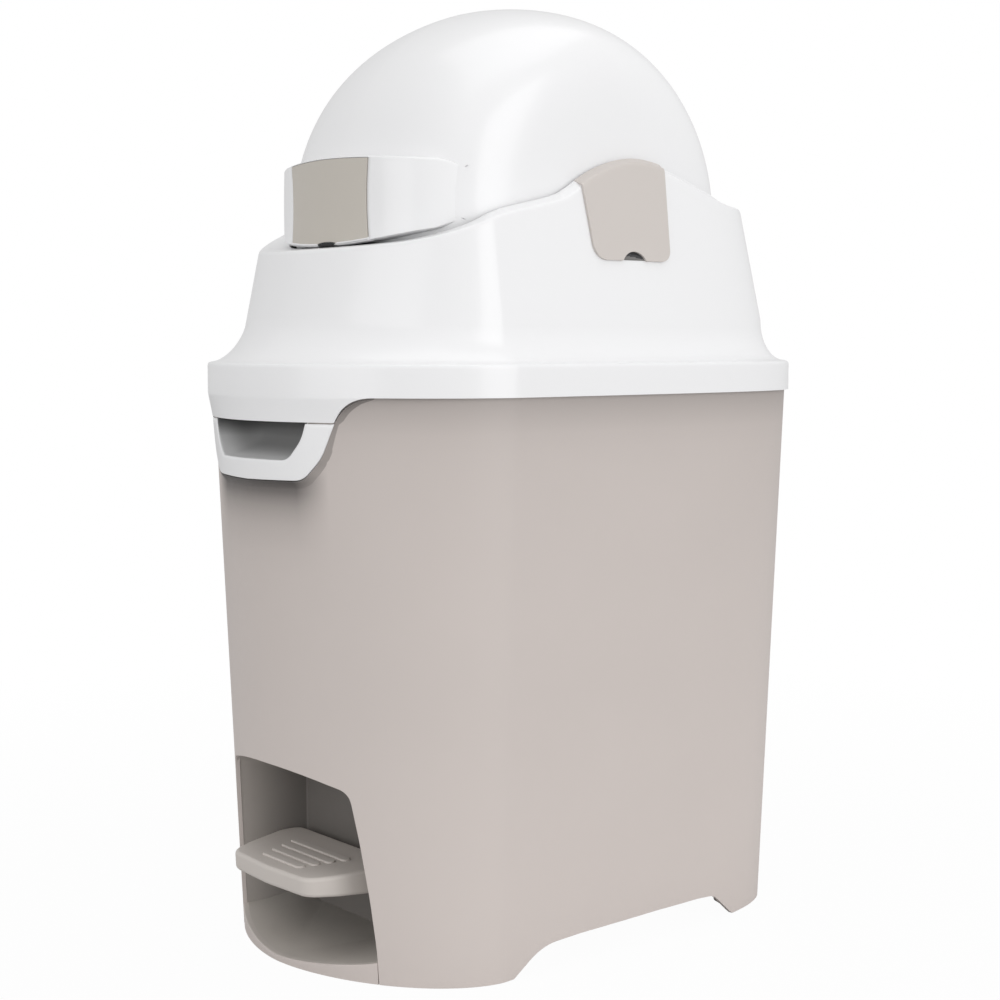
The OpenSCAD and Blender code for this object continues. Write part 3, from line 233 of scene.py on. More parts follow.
def plastic(name, colour, rough, grain=0.06, cloud=0.03, coat=0.0, ior=1.5, grain_scale=1500.0, wave_by=0.02, gloss=0.04,
            deep=None, along=(), spot=()):
    """Moulded plastic: faint clouding of the colour, a fine grain and small changes of gloss.

    deep = (y0, y1, f) darkens the colour by f from y0 to y1, in mm: painted shade for the inside of a recess. along
    holds (axis, stops) pairs, stops being (place in mm, factor of the colour), for painted shade along an axis. spot
    holds such pairs whose product is a soft dark place, a painted shadow."""
    m = bpy.data.materials.new(name)
    m.use_nodes = True
    nodes, links = m.node_tree.nodes, m.node_tree.links
    shader = nodes["Principled BSDF"]
    shader.inputs["IOR"].default_value = ior
    shader.inputs["Coat Weight"].default_value = coat
    shader.inputs["Coat Roughness"].default_value = 0.12
    coord = nodes.new("ShaderNodeTexCoord")

    def noise(scale, detail, rough_value=0.5):
        n = nodes.new("ShaderNodeTexNoise")
        n.inputs["Scale"].default_value = scale
        n.inputs["Detail"].default_value = detail
        n.inputs["Roughness"].default_value = rough_value
        links.new(coord.outputs["Object"], n.inputs["Vector"])
        return n.outputs["Fac"]

    def span(value, lo, hi):
        n = nodes.new("ShaderNodeMapRange")
        n.inputs["From Min"].default_value, n.inputs["From Max"].default_value = 0.3, 0.7
        n.inputs["To Min"].default_value, n.inputs["To Max"].default_value = lo, hi
        links.new(value, n.inputs["Value"])
        return n.outputs["Result"]

    tint = nodes.new("ShaderNodeMix")
    tint.data_type = "RGBA"
    tint.inputs["A"].default_value = tuple(c * (1 - cloud) for c in colour[:3]) + (1,)
    tint.inputs["B"].default_value = tuple(min(1, c * (1 + cloud)) for c in colour[:3]) + (1,)
    links.new(span(noise(9.0, 4.0), 0, 1), tint.inputs["Factor"])

    def ramp(axis, stops):
        place = nodes.new("ShaderNodeSeparateXYZ")
        links.new(coord.outputs["Object"], place.inputs["Vector"])
        reach = nodes.new("ShaderNodeMapRange")
        lo, hi = stops[0][0], stops[-1][0]
        reach.inputs["From Min"].default_value, reach.inputs["From Max"].default_value = lo * 0.001, hi * 0.001
        links.new(place.outputs[axis], reach.inputs["Value"])
        n = nodes.new("ShaderNodeValToRGB")
        ends = n.color_ramp.elements
        ends[0].color, ends[1].color = (stops[0][1],) * 3 + (1,), (stops[-1][1],) * 3 + (1,)
        for at, value in stops[1:-1]:
            n.color_ramp.elements.new((at - lo) / (hi - lo)).color = (value,) * 3 + (1,)
        links.new(reach.outputs["Result"], n.inputs["Fac"])
        return n.outputs["Color"]

    def multiply(base, by, factor=1.0):
        n = nodes.new("ShaderNodeMix")
        n.data_type, n.blend_type = "RGBA", "MULTIPLY"
        n.inputs["Factor"].default_value = factor
        links.new(base.outputs["Result"], n.inputs["A"])
        links.new(by, n.inputs["B"])
        return n

    # Painted shade along an axis, then a painted soft shadow
    for axis, stops in along:
        tint = multiply(tint, ramp(axis, stops))
    if spot:
        dark = ramp(*spot[0])
        for axis, stops in spot[1:]:
            n = nodes.new("ShaderNodeMath")
            n.operation = "MULTIPLY"
            links.new(dark, n.inputs[0])
            links.new(ramp(axis, stops), n.inputs[1])
            dark = n.outputs["Value"]
        n = nodes.new("ShaderNodeMath")
        n.operation = "SUBTRACT"
        n.inputs[0].default_value = 1.0
        links.new(dark, n.inputs[1])
        tint = multiply(tint, n.outputs["Value"])
    # Painted shade, deeper into the recess along Y
    if deep:
        place = nodes.new("ShaderNodeSeparateXYZ")
        links.new(coord.outputs["Object"], place.inputs["Vector"])
        reach = nodes.new("ShaderNodeMapRange")
        reach.interpolation_type = "SMOOTHSTEP"
        reach.inputs["From Min"].default_value, reach.inputs["From Max"].default_value = deep[0] * 0.001, deep[1] * 0.001
        links.new(place.outputs["Y"], reach.inputs["Value"])
        shade = nodes.new("ShaderNodeMix")
        shade.data_type, shade.blend_type = "RGBA", "MULTIPLY"
        shade.inputs["B"].default_value = (deep[2], deep[2], deep[2], 1)
        links.new(reach.outputs["Result"], shade.inputs["Factor"])
        links.new(tint.outputs["Result"], shade.inputs["A"])
        tint = shade
    links.new(tint.outputs["Result"], shader.inputs["Base Color"])
    links.new(span(noise(140.0, 3.0), rough - 0.75 * gloss, rough + 1.25 * gloss), shader.inputs["Roughness"])
    fine = nodes.new("ShaderNodeBump")
    fine.inputs["Strength"].default_value = grain
    fine.inputs["Distance"].default_value = 0.00012
    links.new(noise(grain_scale, 2.0), fine.inputs["Height"])
    wave = nodes.new("ShaderNodeBump")
    wave.inputs["Strength"].default_value = wave_by
    wave.inputs["Distance"].default_value = 0.0004
    links.new(noise(22.0, 0.0), wave.inputs["Height"])
    links.new(fine.outputs["Normal"], wave.inputs["Normal"])
    links.new(wave.outputs["Normal"], shader.inputs["Normal"])
    return m


def metal(name, colour, rough):
    m = plastic(name, colour, rough, grain=0.12, cloud=0.06, grain_scale=3000.0)
    m.node_tree.nodes["Principled BSDF"].inputs["Metallic"].default_value = 1.0
    return m


# Painted shade, as factors of the colour: darker towards the rim, in the shadow of the head
RIM_SHADE = [(20, 1.0), (36, 1.0), (82, 0.984), (128, 0.966), (174, 0.939), (220, 0.93), (255, 0.911), (290, 0.894), (312, 0.879),
        (324, 0.86), (335.6, 0.822), (347, 0.72), (358, 0.62)]
# Painted shade on the flank beside the finger cup
FLANK_SHADE = [(CUP_Z - 6, 1.0), (CUP_Z + 10, 0.6), (RIM - 12, 0.6), (RIM, 0.5)]
# Painted shadow under the finger cup
CUP_SHADOW = [("X", [(-62, 0), (-40, 1), (40, 1), (62, 0)]), ("Y", [(SEAM - 70, 1), (SEAM - 40, 0)]),
             ("Z", [(CUP_Z + z, v) for z, v in [(-60, 0), (-45, 0.03), (-32, 0.116), (-28, 0.155), (-24, 0.22), (-20, 0.3),
                                                (-16, 0.395), (-12, 0.53), (-8, 0.69), (-4, 0.78), (-1, 0.845), (2, 0.8),
                                                (6, 0.4), (14, 0.1), (25, 0)]])]
# Painted shade at the top of the finger cup's pocket
POCKET_SHADE = [(POCKET_Z, 1.0), (331, 0.95), (337, 0.45), (341, 0.2), (344, 0.14)]

# The body's colour, with painted shade towards the rim and a painted shadow under the finger cup
greige = plastic("greige_plastic", srgb(214.5, 205, 200), 0.48, grain=0.10, cloud=0.012, along=[("Z", RIM_SHADE)], spot=CUP_SHADOW)
greige_trim = plastic("greige_trim", srgb(208, 201, 196), 0.40, grain=0.08, cloud=0.012)
plate_grey = plastic("plate_plastic", srgb(200, 194, 185), 0.40, grain=0.08, cloud=0.012)
pedal_grey = plastic("pedal_plastic", srgb(208, 201, 195), 0.46, grain=0.10, cloud=0.012)
white = plastic("white_plastic", srgb(244, 244, 245), 0.30, grain=0.0, cloud=0.003, coat=0.3, wave_by=0.0, gloss=0.006)
# The finger cup's frame: the body's colour with painted shade on its flank and a painted shadow below the cup
frame_grey = plastic("frame_plastic", srgb(214.5, 205, 200), 0.5, grain=0.10, cloud=0.012, along=[("Z", RIM_SHADE), ("Z", FLANK_SHADE)],
                     spot=CUP_SHADOW)
# The recess walls darken towards the back wall: painted shade
recess_grey = plastic("recess_plastic", srgb(194, 187, 181), 0.5, grain=0.10, cloud=0.02, deep=(-176, -118, 0.34))
# A lighter colour for the wall strips at the recess's back corners: a painted highlight on the rounded corner, darkened
# towards the back as painted shade
corner_highlight = plastic("corner_highlight_plastic", srgb(208, 201, 196), 0.5, grain=0.10, cloud=0.02, deep=(-176, -118, 0.5))
# The recess floor darkens towards the back: painted shade
tray_grey = plastic("tray_plastic", srgb(203, 197, 190), 0.5, grain=0.10, cloud=0.02, deep=(-172, -122, 0.40))
# An in-between colour where the floor meets the lip: painted soft shading on that rounded edge
tray_edge = plastic("tray_edge_plastic", srgb(207, 200, 194), 0.5, grain=0.10, cloud=0.02)
# The inside of the finger cup's pocket: the white made darker, more so at the back and at the top: painted shade
pocket_shade = plastic("pocket_shade_plastic", srgb(236, 236, 236), 0.42, grain=0.02, cloud=0.01, deep=(-188, -170, 0.42),
                       along=[("Z", POCKET_SHADE)])
# Painted shade for the notches of the side pads, in three steps: darkest, lightest and between; the darkest also in the
# visor's notch
painted_shade_dark = plastic("painted_shade_dark", srgb(22, 22, 23), 0.55, grain=0.05, cloud=0.06)
painted_shade_light = plastic("painted_shade_light", srgb(118, 116, 114), 0.55, grain=0.05, cloud=0.06)
painted_shade_mid = plastic("painted_shade_mid", srgb(54, 54, 56), 0.55, grain=0.05, cloud=0.06)
inner_white = plastic("inner_plastic", srgb(226, 226, 223), 0.42, grain=0.08, cloud=0.02)
nylon = plastic("nylon", srgb(222, 220, 210), 0.36, grain=0.07, cloud=0.03)
rubber = plastic("soft_rubber", srgb(46, 46, 48), 0.68, grain=0.2, cloud=0.10)
steel = metal("steel", srgb(176, 178, 180), 0.28)

# Bucket

RECESS = rounded([(-WELL_FOOT, -1), (WELL_FOOT, -1), (WELL_FOOT - 0.3, 22), (WELL_FOOT - 2.9, 53), (WELL_TOP + 5, 88),
                  (WELL_TOP, WELL_CORNER), (0, WELL_CORNER + 2 * WELL_CROWN), (-WELL_TOP, WELL_CORNER),
                  (-WELL_TOP - 5, 88), (2.9 - WELL_FOOT, 53), (0.3 - WELL_FOOT, 22)],
                 [0, 0, 100, 100, 100, 10, (math.hypot(WELL_TOP, 17) - 11) * WELL_TOP / 17, 10, 100, 100, 100], 10)
ARCH0, ARCH1 = SEAM + 4, SEAM + 202
SIDE_ARCH = rounded([(ARCH0 + 1, -1), (ARCH0 + 25.5, 17), (ARCH0 + 56, 18.5), (ARCH0 + 126, 19.6), (ARCH1 - 34, 19.2),
                     (ARCH1 - 17, 17.8), (ARCH1 + 6.5, -1)], [0, 40, 60, 100, 40, 12, 0])
REAR_ARCH = rounded([(-78, -1), (-62, 16.5), (62, 16.5), (78, -1)], [0, 14, 14, 0])
POCKET = rounded([(40, POCKET_Z - 2), (50, 333), (55.5, 360), (-55.5, 360), (-50, 333), (-40, POCKET_Z - 2)],
                 [9, 0, 0, 0, 0, 9])
BOSS = [(CUP_Z - 1, 47), (320, 59), (TAB_Z, 69.5), (RIM, 77.5)]


def columns():
    """Angles round the body: fine at the nose and at the rear corners."""
    out, a = [], -180.0
    while a < 180 - 1e-6:
        out.append(a)
        side = 0 <= a < 13.4 or a > 166.4
        a += 0.6 if -135 <= a < -45.3 else 0.5 if side else 0.75 if a > 0 and 27 <= a % 90 <= 63 else 1.5
    return out


AROUND = columns()
N = len(AROUND)


def is_cut(a, z):
    x, y = body(a, z)
    return (y < SEAM - 24 and inside(RECESS, x, z)) or inside(SIDE_ARCH, y, z) or (y > SEAM + 240 and inside(REAR_ARCH, x, z))


def bottom_edge(a):
    return edge_between(150, FOOT_Z, lambda z: is_cut(a, z)) if is_cut(a, FOOT_Z) else FOOT_Z


def top_edge(a):
    x, y = body(a, RIM - 0.1)
    if y > SEAM - 40 or not inside(POCKET, x, RIM - 0.1):
        return RIM
    return edge_between(300, RIM - 0.1, lambda z: inside(POCKET, body(a, z)[0], z))


def taper(x):
    """The cup, the tab and their frame stand out less towards their ends."""
    return 1 - 0.25 * smooth((abs(x) - 28) / 38)


def boss_height(x, z):
    """How far the boss round the finger cup stands out of the bucket."""
    dx, dz = (abs(x) - lookup(z, BOSS)) * 0.88, CUP_Z - 1 - z
    d = math.hypot(max(0, dx + 9), max(0, dz + 9)) - 9 if dx > -9 and dz > -9 else max(dx, dz)
    return 1.2 * taper(x) * (1 - smooth(d / 4.2)) * smooth((TAB_Z + 3 - z) / 4)


LOW = [bottom_edge(a) for a in AROUND]
HIGH = [top_edge(a) for a in AROUND]


def bucket_point(i, k):
    i %= N
    a = AROUND[i]
    z = mix(LOW[i], 298, k / 16) if k <= 16 else mix(298, HIGH[i], (k - 16) / 22)
    x, y = body(a, z)
    g = boss_height(x, z) if y < SEAM - 30 and z > 295 else 0
    x, y = body(a, z, g)
    return x, y, z


bucket = to_piece(sheet(N, 38, bucket_point), "bucket_shell", "bin", greige, ["bucket"], away=(0, 0, 200), thick=WALL,
                  bevel=0.7)


def inner_body(bm):
    edge = [body(a, FLOOR_Z + 1, -WALL + 0.2) for a in AROUND]
    front = [p for p in edge if p[1] < SEAM - 25 and abs(p[0]) < WELL_FOOT]
    rest = [p for p in edge if p not in front]
    cut = next(i for i in range(len(rest)) if rest[i][0] > 0 and rest[i - 1][0] < 0 and rest[i][1] < SEAM)
    plan = rest[cut:] + rest[:cut]
    w = WELL_FOOT + 0.2
    y = SEAM - WELL_BACK + 2.4
    prism([(w, y), (w, plan[0][1])] + plan + [(-w, plan[-1][1]), (-w, y)], "z", FLOOR_Z, FLOOR_Z + 2.5, bm)
    return bm


floor_bm = inner_body(bmesh.new())
for fx, fy in [(88, 0.5), (-88, 0.5), (96, 226), (-96, 226)]:
    bmesh.ops.create_cone(floor_bm, cap_ends=True, segments=40, radius1=11.4, radius2=12.2, depth=FLOOR_Z - 0.9,
                          matrix=Matrix.Translation((fx, SEAM + fy, (FLOOR_Z + 1.9) / 2)))
to_piece(floor_bm, "bucket_floor", "bin", greige, bevel=0.6, weld=0)

HINGE_Y, HINGE_Z = SEAM + 289.0, RIM - 6.0
ears = bmesh.new()
for x0, x1 in [(-62, -50), (-36, -24), (24, 36), (50, 62)]:
    y0 = SEAM + 282.2 - WALL + 0.6
    prism([(y0, HINGE_Z - 14), (HINGE_Y, HINGE_Z - 5.5), (HINGE_Y, HINGE_Z), (y0, HINGE_Z + 4)], "x", x0, x1, ears)
    bar(ears, 5.5, x0, x1, HINGE_Y, HINGE_Z)
to_piece(ears, "hinge_ears", "bin", greige, bevel=0.7, weld=0)

lugs = bmesh.new()
RING_Z = DRUM_Z - DRUM_R - 10
for side in (-1, 1):
    for back in (8, 128):
        x0, x1 = side * 120.0, side * 132.6
        prism([(x0, RING_Z - 0.3), (x1, RING_Z - 0.3), (x1, RING_Z - 24), (x0, RING_Z - 8)], "y", SEAM + back - 6,
              SEAM + back + 6, lugs)
to_piece(lugs, "ring_lugs", "bin", greige, bevel=0.8, weld=0)

# Foot recess

BACK_Y = SEAM - WELL_BACK
BACK_HALF = 55.0
HALF_AT = sorted([(z, x) for x, z in RECESS if x > 0 and z <= WELL_CORNER - 6])


SLOT = (47.0, 62.4)


def recess_path(n):
    pts = path_at(RECESS[1:] + RECESS[:1], n)
    for z in SLOT:
        for side in (-1, 1):
            p = min((p for p in pts if p.x * side > 0 and abs(p.x) > 60), key=lambda p: abs(p.y - z))
            p.y = z
            p.x = side * lookup(z, HALF_AT)
    return pts


RECESS_PATH = recess_path(120)
WALL_ROWS = 11


def recess_point(i, r):
    x, z = RECESS_PATH[i]
    z = max(FOOT_Z, z - 0.3 * smooth((z - 90) / 20))
    x *= 1 - 0.3 / 70
    back_x = x * BACK_HALF / (lookup(min(z, 110), HALF_AT) - 0.3)
    front_y = nose_y(x, z) + 1.1
    if r <= WALL_ROWS:
        t = r / 10 if r < 10 else (0.975, 1)[r - 10]
        return mix(x, back_x, t), mix(front_y, BACK_Y, t), z
    return back_x * (30 / 55, 15 / 55, 0)[r - WALL_ROWS - 1], BACK_Y, z


walls = sheet(120, WALL_ROWS + 3, recess_point)
slot_faces = [f for f in walls.faces if abs(f.calc_center_median().y - BACK_Y) < 0.2 and abs(f.calc_center_median().x) < 30
              and SLOT[0] < f.calc_center_median().z < SLOT[1]]
bmesh.ops.delete(walls, geom=slot_faces, context="FACES")
walls = to_piece(walls, "recess_walls", "bin", recess_grey, ["pedal_well"], face_to=(0, -400, 70), thick=2.0, bevel=0.5,
                 angle=40, weld=0.01)
# The strips next to the back corners take the painted corner highlight
walls.data.materials.append(corner_highlight)
for f in walls.data.polygons:
    x, y, z = [c * 1000 for c in f.center]
    f.material_index = 1 if abs(x) > 50 and y > BACK_Y - 2.2 and z < WELL_CORNER - 8 and y < BACK_Y - 0.2 else 0


def tray_z(x, y):
    """The recess floor: low at the front, rising to the back and to both sides, with a faint crease where they meet."""
    back = y - SEAM
    t = min(1, max(0, (back + 82) / 57))
    half = mix(77.2, BACK_HALF, min(1, max(0, (back + 64) / 39)))
    crease = max(0.0, 41 * (back + 71) / 46)
    s = max(0, abs(x) - crease) / (half - crease)
    return 4 + 13.5 * t * t + 8 * s ** 1.35


def tray_point(i, r):
    s = i / 30 - 1
    front_x = s * 77.2
    front_y = nose_y(front_x, 6) + 0.3
    if r <= 20:
        t = r / 20
        x, y = mix(s * BACK_HALF, front_x, t), mix(BACK_Y, front_y + 1.2, t)
        return x, y, tray_z(x, y)
    z = tray_z(front_x, front_y + 1.2)
    dy, dz = [(0.5, 0.15), (0.1, 0.5), (0, 1.3)][r - 21] if r <= 23 else (0, 0)
    z = z - dz if r <= 23 else mix(z - 1.3, FOOT_Z, (r - 23) / 3)
    return front_x, nose_y(front_x, z) + 0.3 + dy, z


tray = to_piece(sheet(60, 26, tray_point), "recess_floor", "bin", tray_grey, face_to=(0, -300, 300), thick=2.2, bevel=0.3)
# The front edge takes the body's colour, the band behind it the in-between painted shading, the rest the floor's shaded
# colour
tray.data.materials.append(greige)
tray.data.materials.append(tray_edge)
for f in tray.data.polygons:
    step = f.center.y * 1000 - nose_y(f.center.x * 1000, 6)
    f.material_index = 1 if step < 1.0 else 2 if step < 4.5 else 0

# Finger cup

CUP_OUT = rounded([(-69, TAB_Z - 0.9), (-60, 321), (-47, CUP_Z), (0, CUP_Z - 0.8), (47, CUP_Z), (60, 321), (69, TAB_Z - 0.9)],
                  [0, 34, 13, 60, 13, 34, 0], 12)
CUP_IN = rounded([(-50.3, TAB_Z - 0.9), (-47, 332), (-36.5, POCKET_Z), (36.5, POCKET_Z), (47, 332), (50.3, TAB_Z - 0.9)],
                 [0, 26, 11, 11, 26, 0], 12)
CUP_N = 72
OUT_PATH, IN_PATH = path_at(CUP_OUT, CUP_N), path_at(CUP_IN, CUP_N)
CUP_BACK = SEAM - 103.2 + POCKET_DEEP
CUP_ROWS = [(0, 0.9), (0, 2.6), (0.012, 2.92), (0.035, 3.0), (0.35, 3.0), (0.68, 3.0), (0.9, 3.0), (0.965, 2.7), (1, 2.0)]
BOWL = [(0.06, 0), (0.2, 0.6), (0.4, 2), (0.6, 4.2), (0.78, 7.5), (0.9, 11), (0.97, 14.5), (1, 18)]


def cup_point(i, r):
    k = min(CUP_N, max(0, i - 2))
    raise_by = 6.5 * (max(0, 2 - i) + max(0, i - CUP_N - 2))
    if r < len(CUP_ROWS):
        t, g = CUP_ROWS[r]
        x, z = OUT_PATH[k].lerp(IN_PATH[k], t)
        return x, nose_y(x, z, g * taper(x)), z
    x, z = IN_PATH[k]
    r -= len(CUP_ROWS)
    if r < len(BOWL):
        depth, c = BOWL[r]
        x2, z2 = x * (1 - c / 62), 352 - (352 - z) * (1 - c / 36)
        z2 = z2 + raise_by * (352 - z2) / 13
        return x2, mix(nose_y(x, z, 1.4), CUP_BACK, depth), z2
    c = BOWL[-1][1]
    x2, z2 = x * (1 - c / 62), 352 - (352 - z) * (1 - c / 36)
    z2 = z2 + raise_by * (352 - z2) / 13
    return x2 * 0.98, CUP_BACK + 0.4, mix(z2, 352, (r - len(BOWL) + 1) / 3)


cup = to_piece(sheet(CUP_N + 4, len(CUP_ROWS) + len(BOWL) + 2, cup_point), "finger_cup_shell", "bin", white, ["finger_cup"],
               face_to=(0, -400, 330), thick=1.3, weld=0.01)
for material in (pocket_shade, inner_white, inner_white):
    cup.data.materials.append(material)
cup.modifiers["thickness"].material_offset = 2
# Faces of the bowl behind the plate take the pocket's painted shade
for f in cup.data.polygons:
    x, y, z = [c * 1000 for c in f.center]
    f.material_index = 1 if y > nose_y(x, z, 1.2) else 0

FRAME_HALF = rounded([(TAB_TOP_HALF + 28, BAND_Z), (TAB_TOP_HALF + 1, BAND_Z), (TAB_HALF - 0.4, TAB_Z), (60, 321), (47, CUP_Z),
                      (0, CUP_Z - 0.8)], [0, 24, 0, 34, 13, 0], 12)
FRAME_N = 120
FRAME = path_at([(-x, z) for x, z in FRAME_HALF] + [(x, z) for x, z in reversed(FRAME_HALF[:-1])], FRAME_N)
FRAME_ROWS = [(0.3, 0.4), (0.3, 1.9), (0.5, 2.45), (0.85, 2.6), (1.25, 2.5), (1.8, 2.1), (2.5, 1.45), (3.3, 0.75), (4.0, 0.3),
              (4.6, 0.1), (5.0, -0.5)]


def frame_point(i, r):
    out, g = FRAME_ROWS[r]
    out *= mix(1, 0.5, smooth((abs(FRAME[i][0]) - 48) / 38))
    along = FRAME[min(FRAME_N, i + 1)] - FRAME[max(0, i - 1)]
    along.normalize()
    x, z = FRAME[i][0] + along[1] * out * 0.85, FRAME[i][1] - along[0] * out
    z = min(z, BAND_Z + 2)
    fade = smooth((abs(x) - TAB_TOP_HALF + 2) / 22)
    return x, nose_y(x, z, mix(g * taper(x), -0.6, fade)), z


to_piece(sheet(FRAME_N, len(FRAME_ROWS) - 1, frame_point), "cup_frame", "bin", frame_grey, face_to=(0, -400, 330), thick=0.9,
         weld=0.01)

# Pedal

pedal_tilt = math.atan2(3.5, 64)
pedal_at = Matrix.Translation((0, SEAM - 64, 65.3)) @ Matrix.Rotation(pedal_tilt, 4, "X")
PLAN = rounded([(-58.5, 18), (-51, -11), (-43.5, -28), (0, -30.5), (43.5, -28), (51, -11), (58.5, 18), (56, 33), (-56, 33)],
               [14, 30, 14, 80, 14, 30, 14, 9, 9], 10)
pad = prism(PLAN, "z", -12.8, -0.6)
for v in pad.verts:
    if v.co.z < -5:
        v.co.z -= 3.5 * smooth((v.co.y + 32) / 50)
bmesh.ops.transform(pad, matrix=pedal_at, verts=pad.verts)
to_piece(pad, "pedal_pad", "pedal", pedal_grey, ["pedal"], bevel=2.6, angle=60, segments=5, weld=0)
ribs = bmesh.new()
for i in range(4):
    w, y = 22 + i * 3.2, -16.0 + i * 9.2
    prism(rounded([(-w, y - 3.2), (w, y - 3.2), (w, y + 3.2), (-w, y + 3.2)], [3.1] * 4), "z", -2, 0.45, ribs)
bmesh.ops.transform(ribs, matrix=pedal_at, verts=ribs.verts)
to_piece(ribs, "pedal_ribs", "pedal", pedal_grey, bevel=1.05, angle=50, segments=4, weld=0)
arm = prism([(SEAM - 38, 58.4), (SEAM - 38, 60.4), (SEAM - 20, 61.4), (PIVOT_Y, PIVOT_Z + 6), (PIVOT_Y, PIVOT_Z - 4)], "x",
            -24, 24)
bar(arm, 8, -28, 28, PIVOT_Y, PIVOT_Z)
to_piece(arm, "pedal_arm", "pedal", pedal_grey, bevel=0.8, weld=0)

# Head


def lip_z(y):
    b = y - SEAM
    return RIM + (lookup(b - 7, LIP) + 2 * lookup(b, LIP) + lookup(b + 7, LIP) + lookup(b - 3, LIP) + lookup(b + 3, LIP)) / 6


def side_inset(z):
    return FLARE_SIDE + LEAN_SIDE * (z - FLARE_Z)


def nose_inset(z):
    return FLARE_NOSE + LEAN_NOSE * (z - FLARE_Z)


def head_point(a, z, g=0.0):
    s = side_inset(z) + g
    x, y = outline(a, TOP[0] - s, TOP[1] - nose_inset(z) - g, TOP[2] - s)
    return x, y, z


def head_ring(a, f, s, t, z):
    x, y = outline(a, TOP[0] - s, TOP[1] - f, TOP[2] - t)
    return x, y, z


def edge_z(a):
    s = side_inset(DRUM_Z + 8)
    return lip_z(outline(a, TOP[0] - s, TOP[1] - nose_inset(DRUM_Z - 24), TOP[2] - s)[1])


def mouth_point(a, z, g=0.0):
    x, y, _ = head_point(a, DRUM_Z + 3, 8)
    b = math.atan2(y - DRUM_Y, x)
    c, s = abs(math.cos(b)) / (DRUM_HALF + 2 + g), abs(math.sin(b)) / (DRUM_R + 3.5 + g)
    lo, hi = 50.0, 300.0
    for _ in range(24):
        k = (lo + hi) / 2
        lo, hi = (k, hi) if (k * c) ** CROWN_POWER + (k * s) ** SHOULDER_POWER < 1 else (lo, k)
    return k * math.cos(b), DRUM_Y + k * math.sin(b), z


FLARE_FROM = BAND_TOP + 0.4


def flare_point(a, u):
    s = (1 - (1 - u) ** 2) ** 0.5
    f = (1 - (1 - u) ** 1.5) ** (1 / 1.5)
    return head_ring(a, mix(-1.5, FLARE_NOSE, f), mix(0, FLARE_SIDE, s), mix(0, FLARE_SIDE, s), mix(FLARE_FROM, FLARE_Z, u))


TAB = [(-TAB_HALF, TAB_Z - 1), (TAB_HALF, TAB_Z - 1)] + rounded(
    [(TAB_HALF, TAB_Z), (TAB_TOP_HALF + 1, BAND_Z), (TAB_TOP_HALF + 28, BAND_Z), (TAB_TOP_HALF + 28, BAND_Z + 3),
     (-TAB_TOP_HALF - 28, BAND_Z + 3), (-TAB_TOP_HALF - 28, BAND_Z), (-TAB_TOP_HALF - 1, BAND_Z), (-TAB_HALF, TAB_Z)],
    [0, 24, 0, 0, 0, 0, 24, 0], 10)
EDGE = [edge_z(a) for a in AROUND]


def tab_bottom(a):
    x, y = outline(a, TOP[0] + 2.5, TOP[1] + 5, TOP[2] + 2)
    if y > SEAM - 30:
        return BAND_Z
    if abs(x) < TAB_HALF:
        return TAB_Z
    return edge_between(TAB_Z - 2, BAND_Z + 1, lambda z: inside(TAB, x, z)) if inside(TAB, x, BAND_Z + 0.5) else BAND_Z


TAB_LOW = [min(BAND_Z, tab_bottom(a)) for a in AROUND]
BAND_EDGE = [(0.0, 0.0), (0.0, 0.5), (0.0, 0.88), (0.25, 0.95), (0.8, 0.99), (1.5, 1.0)]
FLARE_STEPS = [0.0, 0.02, 0.05, 0.1, 0.16, 0.24, 0.33, 0.43, 0.54, 0.66, 0.8, 1.0]
WALL_STEPS = [0.25, 0.5, 0.75, 1.0]
LIP_EDGE = [(0.25, -1.1), (0.9, -0.35), (2.0, 0.0)]
MOUTH_STEPS = [0.3, 0.6, 0.9]
MOUTH_EDGE = [(0.0, 0.15), (-0.1, 0.9), (0.0, 3.0), (0.1, 9.0)]
TAB_ROWS = 8
MOUTH_RISE = 2.6


def hood_point(i, r):
    i %= N
    a, e = AROUND[i], EDGE[i]
    if r < TAB_ROWS:
        z = mix(TAB_LOW[i], BAND_Z, r / TAB_ROWS)
        x, y = outline(a, TOP[0] + 2.5, TOP[1] + 5, TOP[2] + 2)
        if TAB_LOW[i] >= BAND_Z:
            return x, y, z
        t = min(1, max(0, (z - TAB_Z) / (BAND_Z - TAB_Z)))
        x2, y2 = body(a, z, 3.1 * taper(x))
        x3, y3, _ = head_ring(a, -5, -2.5, -2, z)
        return mix(x2, x3, t ** 1.4), mix(y2, y3, t ** 1.4), z
    r -= TAB_ROWS
    if r < len(BAND_EDGE):
        inset, t = BAND_EDGE[r]
        return head_ring(a, inset - 5, inset - 2.5, inset - 2, mix(BAND_Z, BAND_TOP, t))
    r -= len(BAND_EDGE)
    if r < len(FLARE_STEPS):
        return flare_point(a, FLARE_STEPS[r])
    r -= len(FLARE_STEPS)
    if r < len(WALL_STEPS):
        return head_point(a, mix(FLARE_Z, e - 2.6, WALL_STEPS[r]))
    r -= len(WALL_STEPS)
    if r < len(LIP_EDGE):
        g, dz = LIP_EDGE[r]
        return head_point(a, e + dz, g)
    r -= len(LIP_EDGE)
    if r < len(MOUTH_STEPS):
        t = MOUTH_STEPS[r]
        p, q = Vector(head_point(a, e, 2.0)), Vector(mouth_point(a, e + MOUTH_RISE, 0.8))
        return p.lerp(q, t)
    g, drop = MOUTH_EDGE[r - len(MOUTH_STEPS)]
    return mouth_point(a, e + MOUTH_RISE - drop, g)


HOOD_ROWS = TAB_ROWS + len(BAND_EDGE) + len(FLARE_STEPS) + len(WALL_STEPS) + len(LIP_EDGE) + len(MOUTH_STEPS) + len(MOUTH_EDGE)
to_piece(sheet(N, HOOD_ROWS - 1, hood_point), "hood_shell", "head", white, ["hood"], away=(0, 40, 300), thick=2.3, bevel=0.5,
         angle=50, weld=0.01)

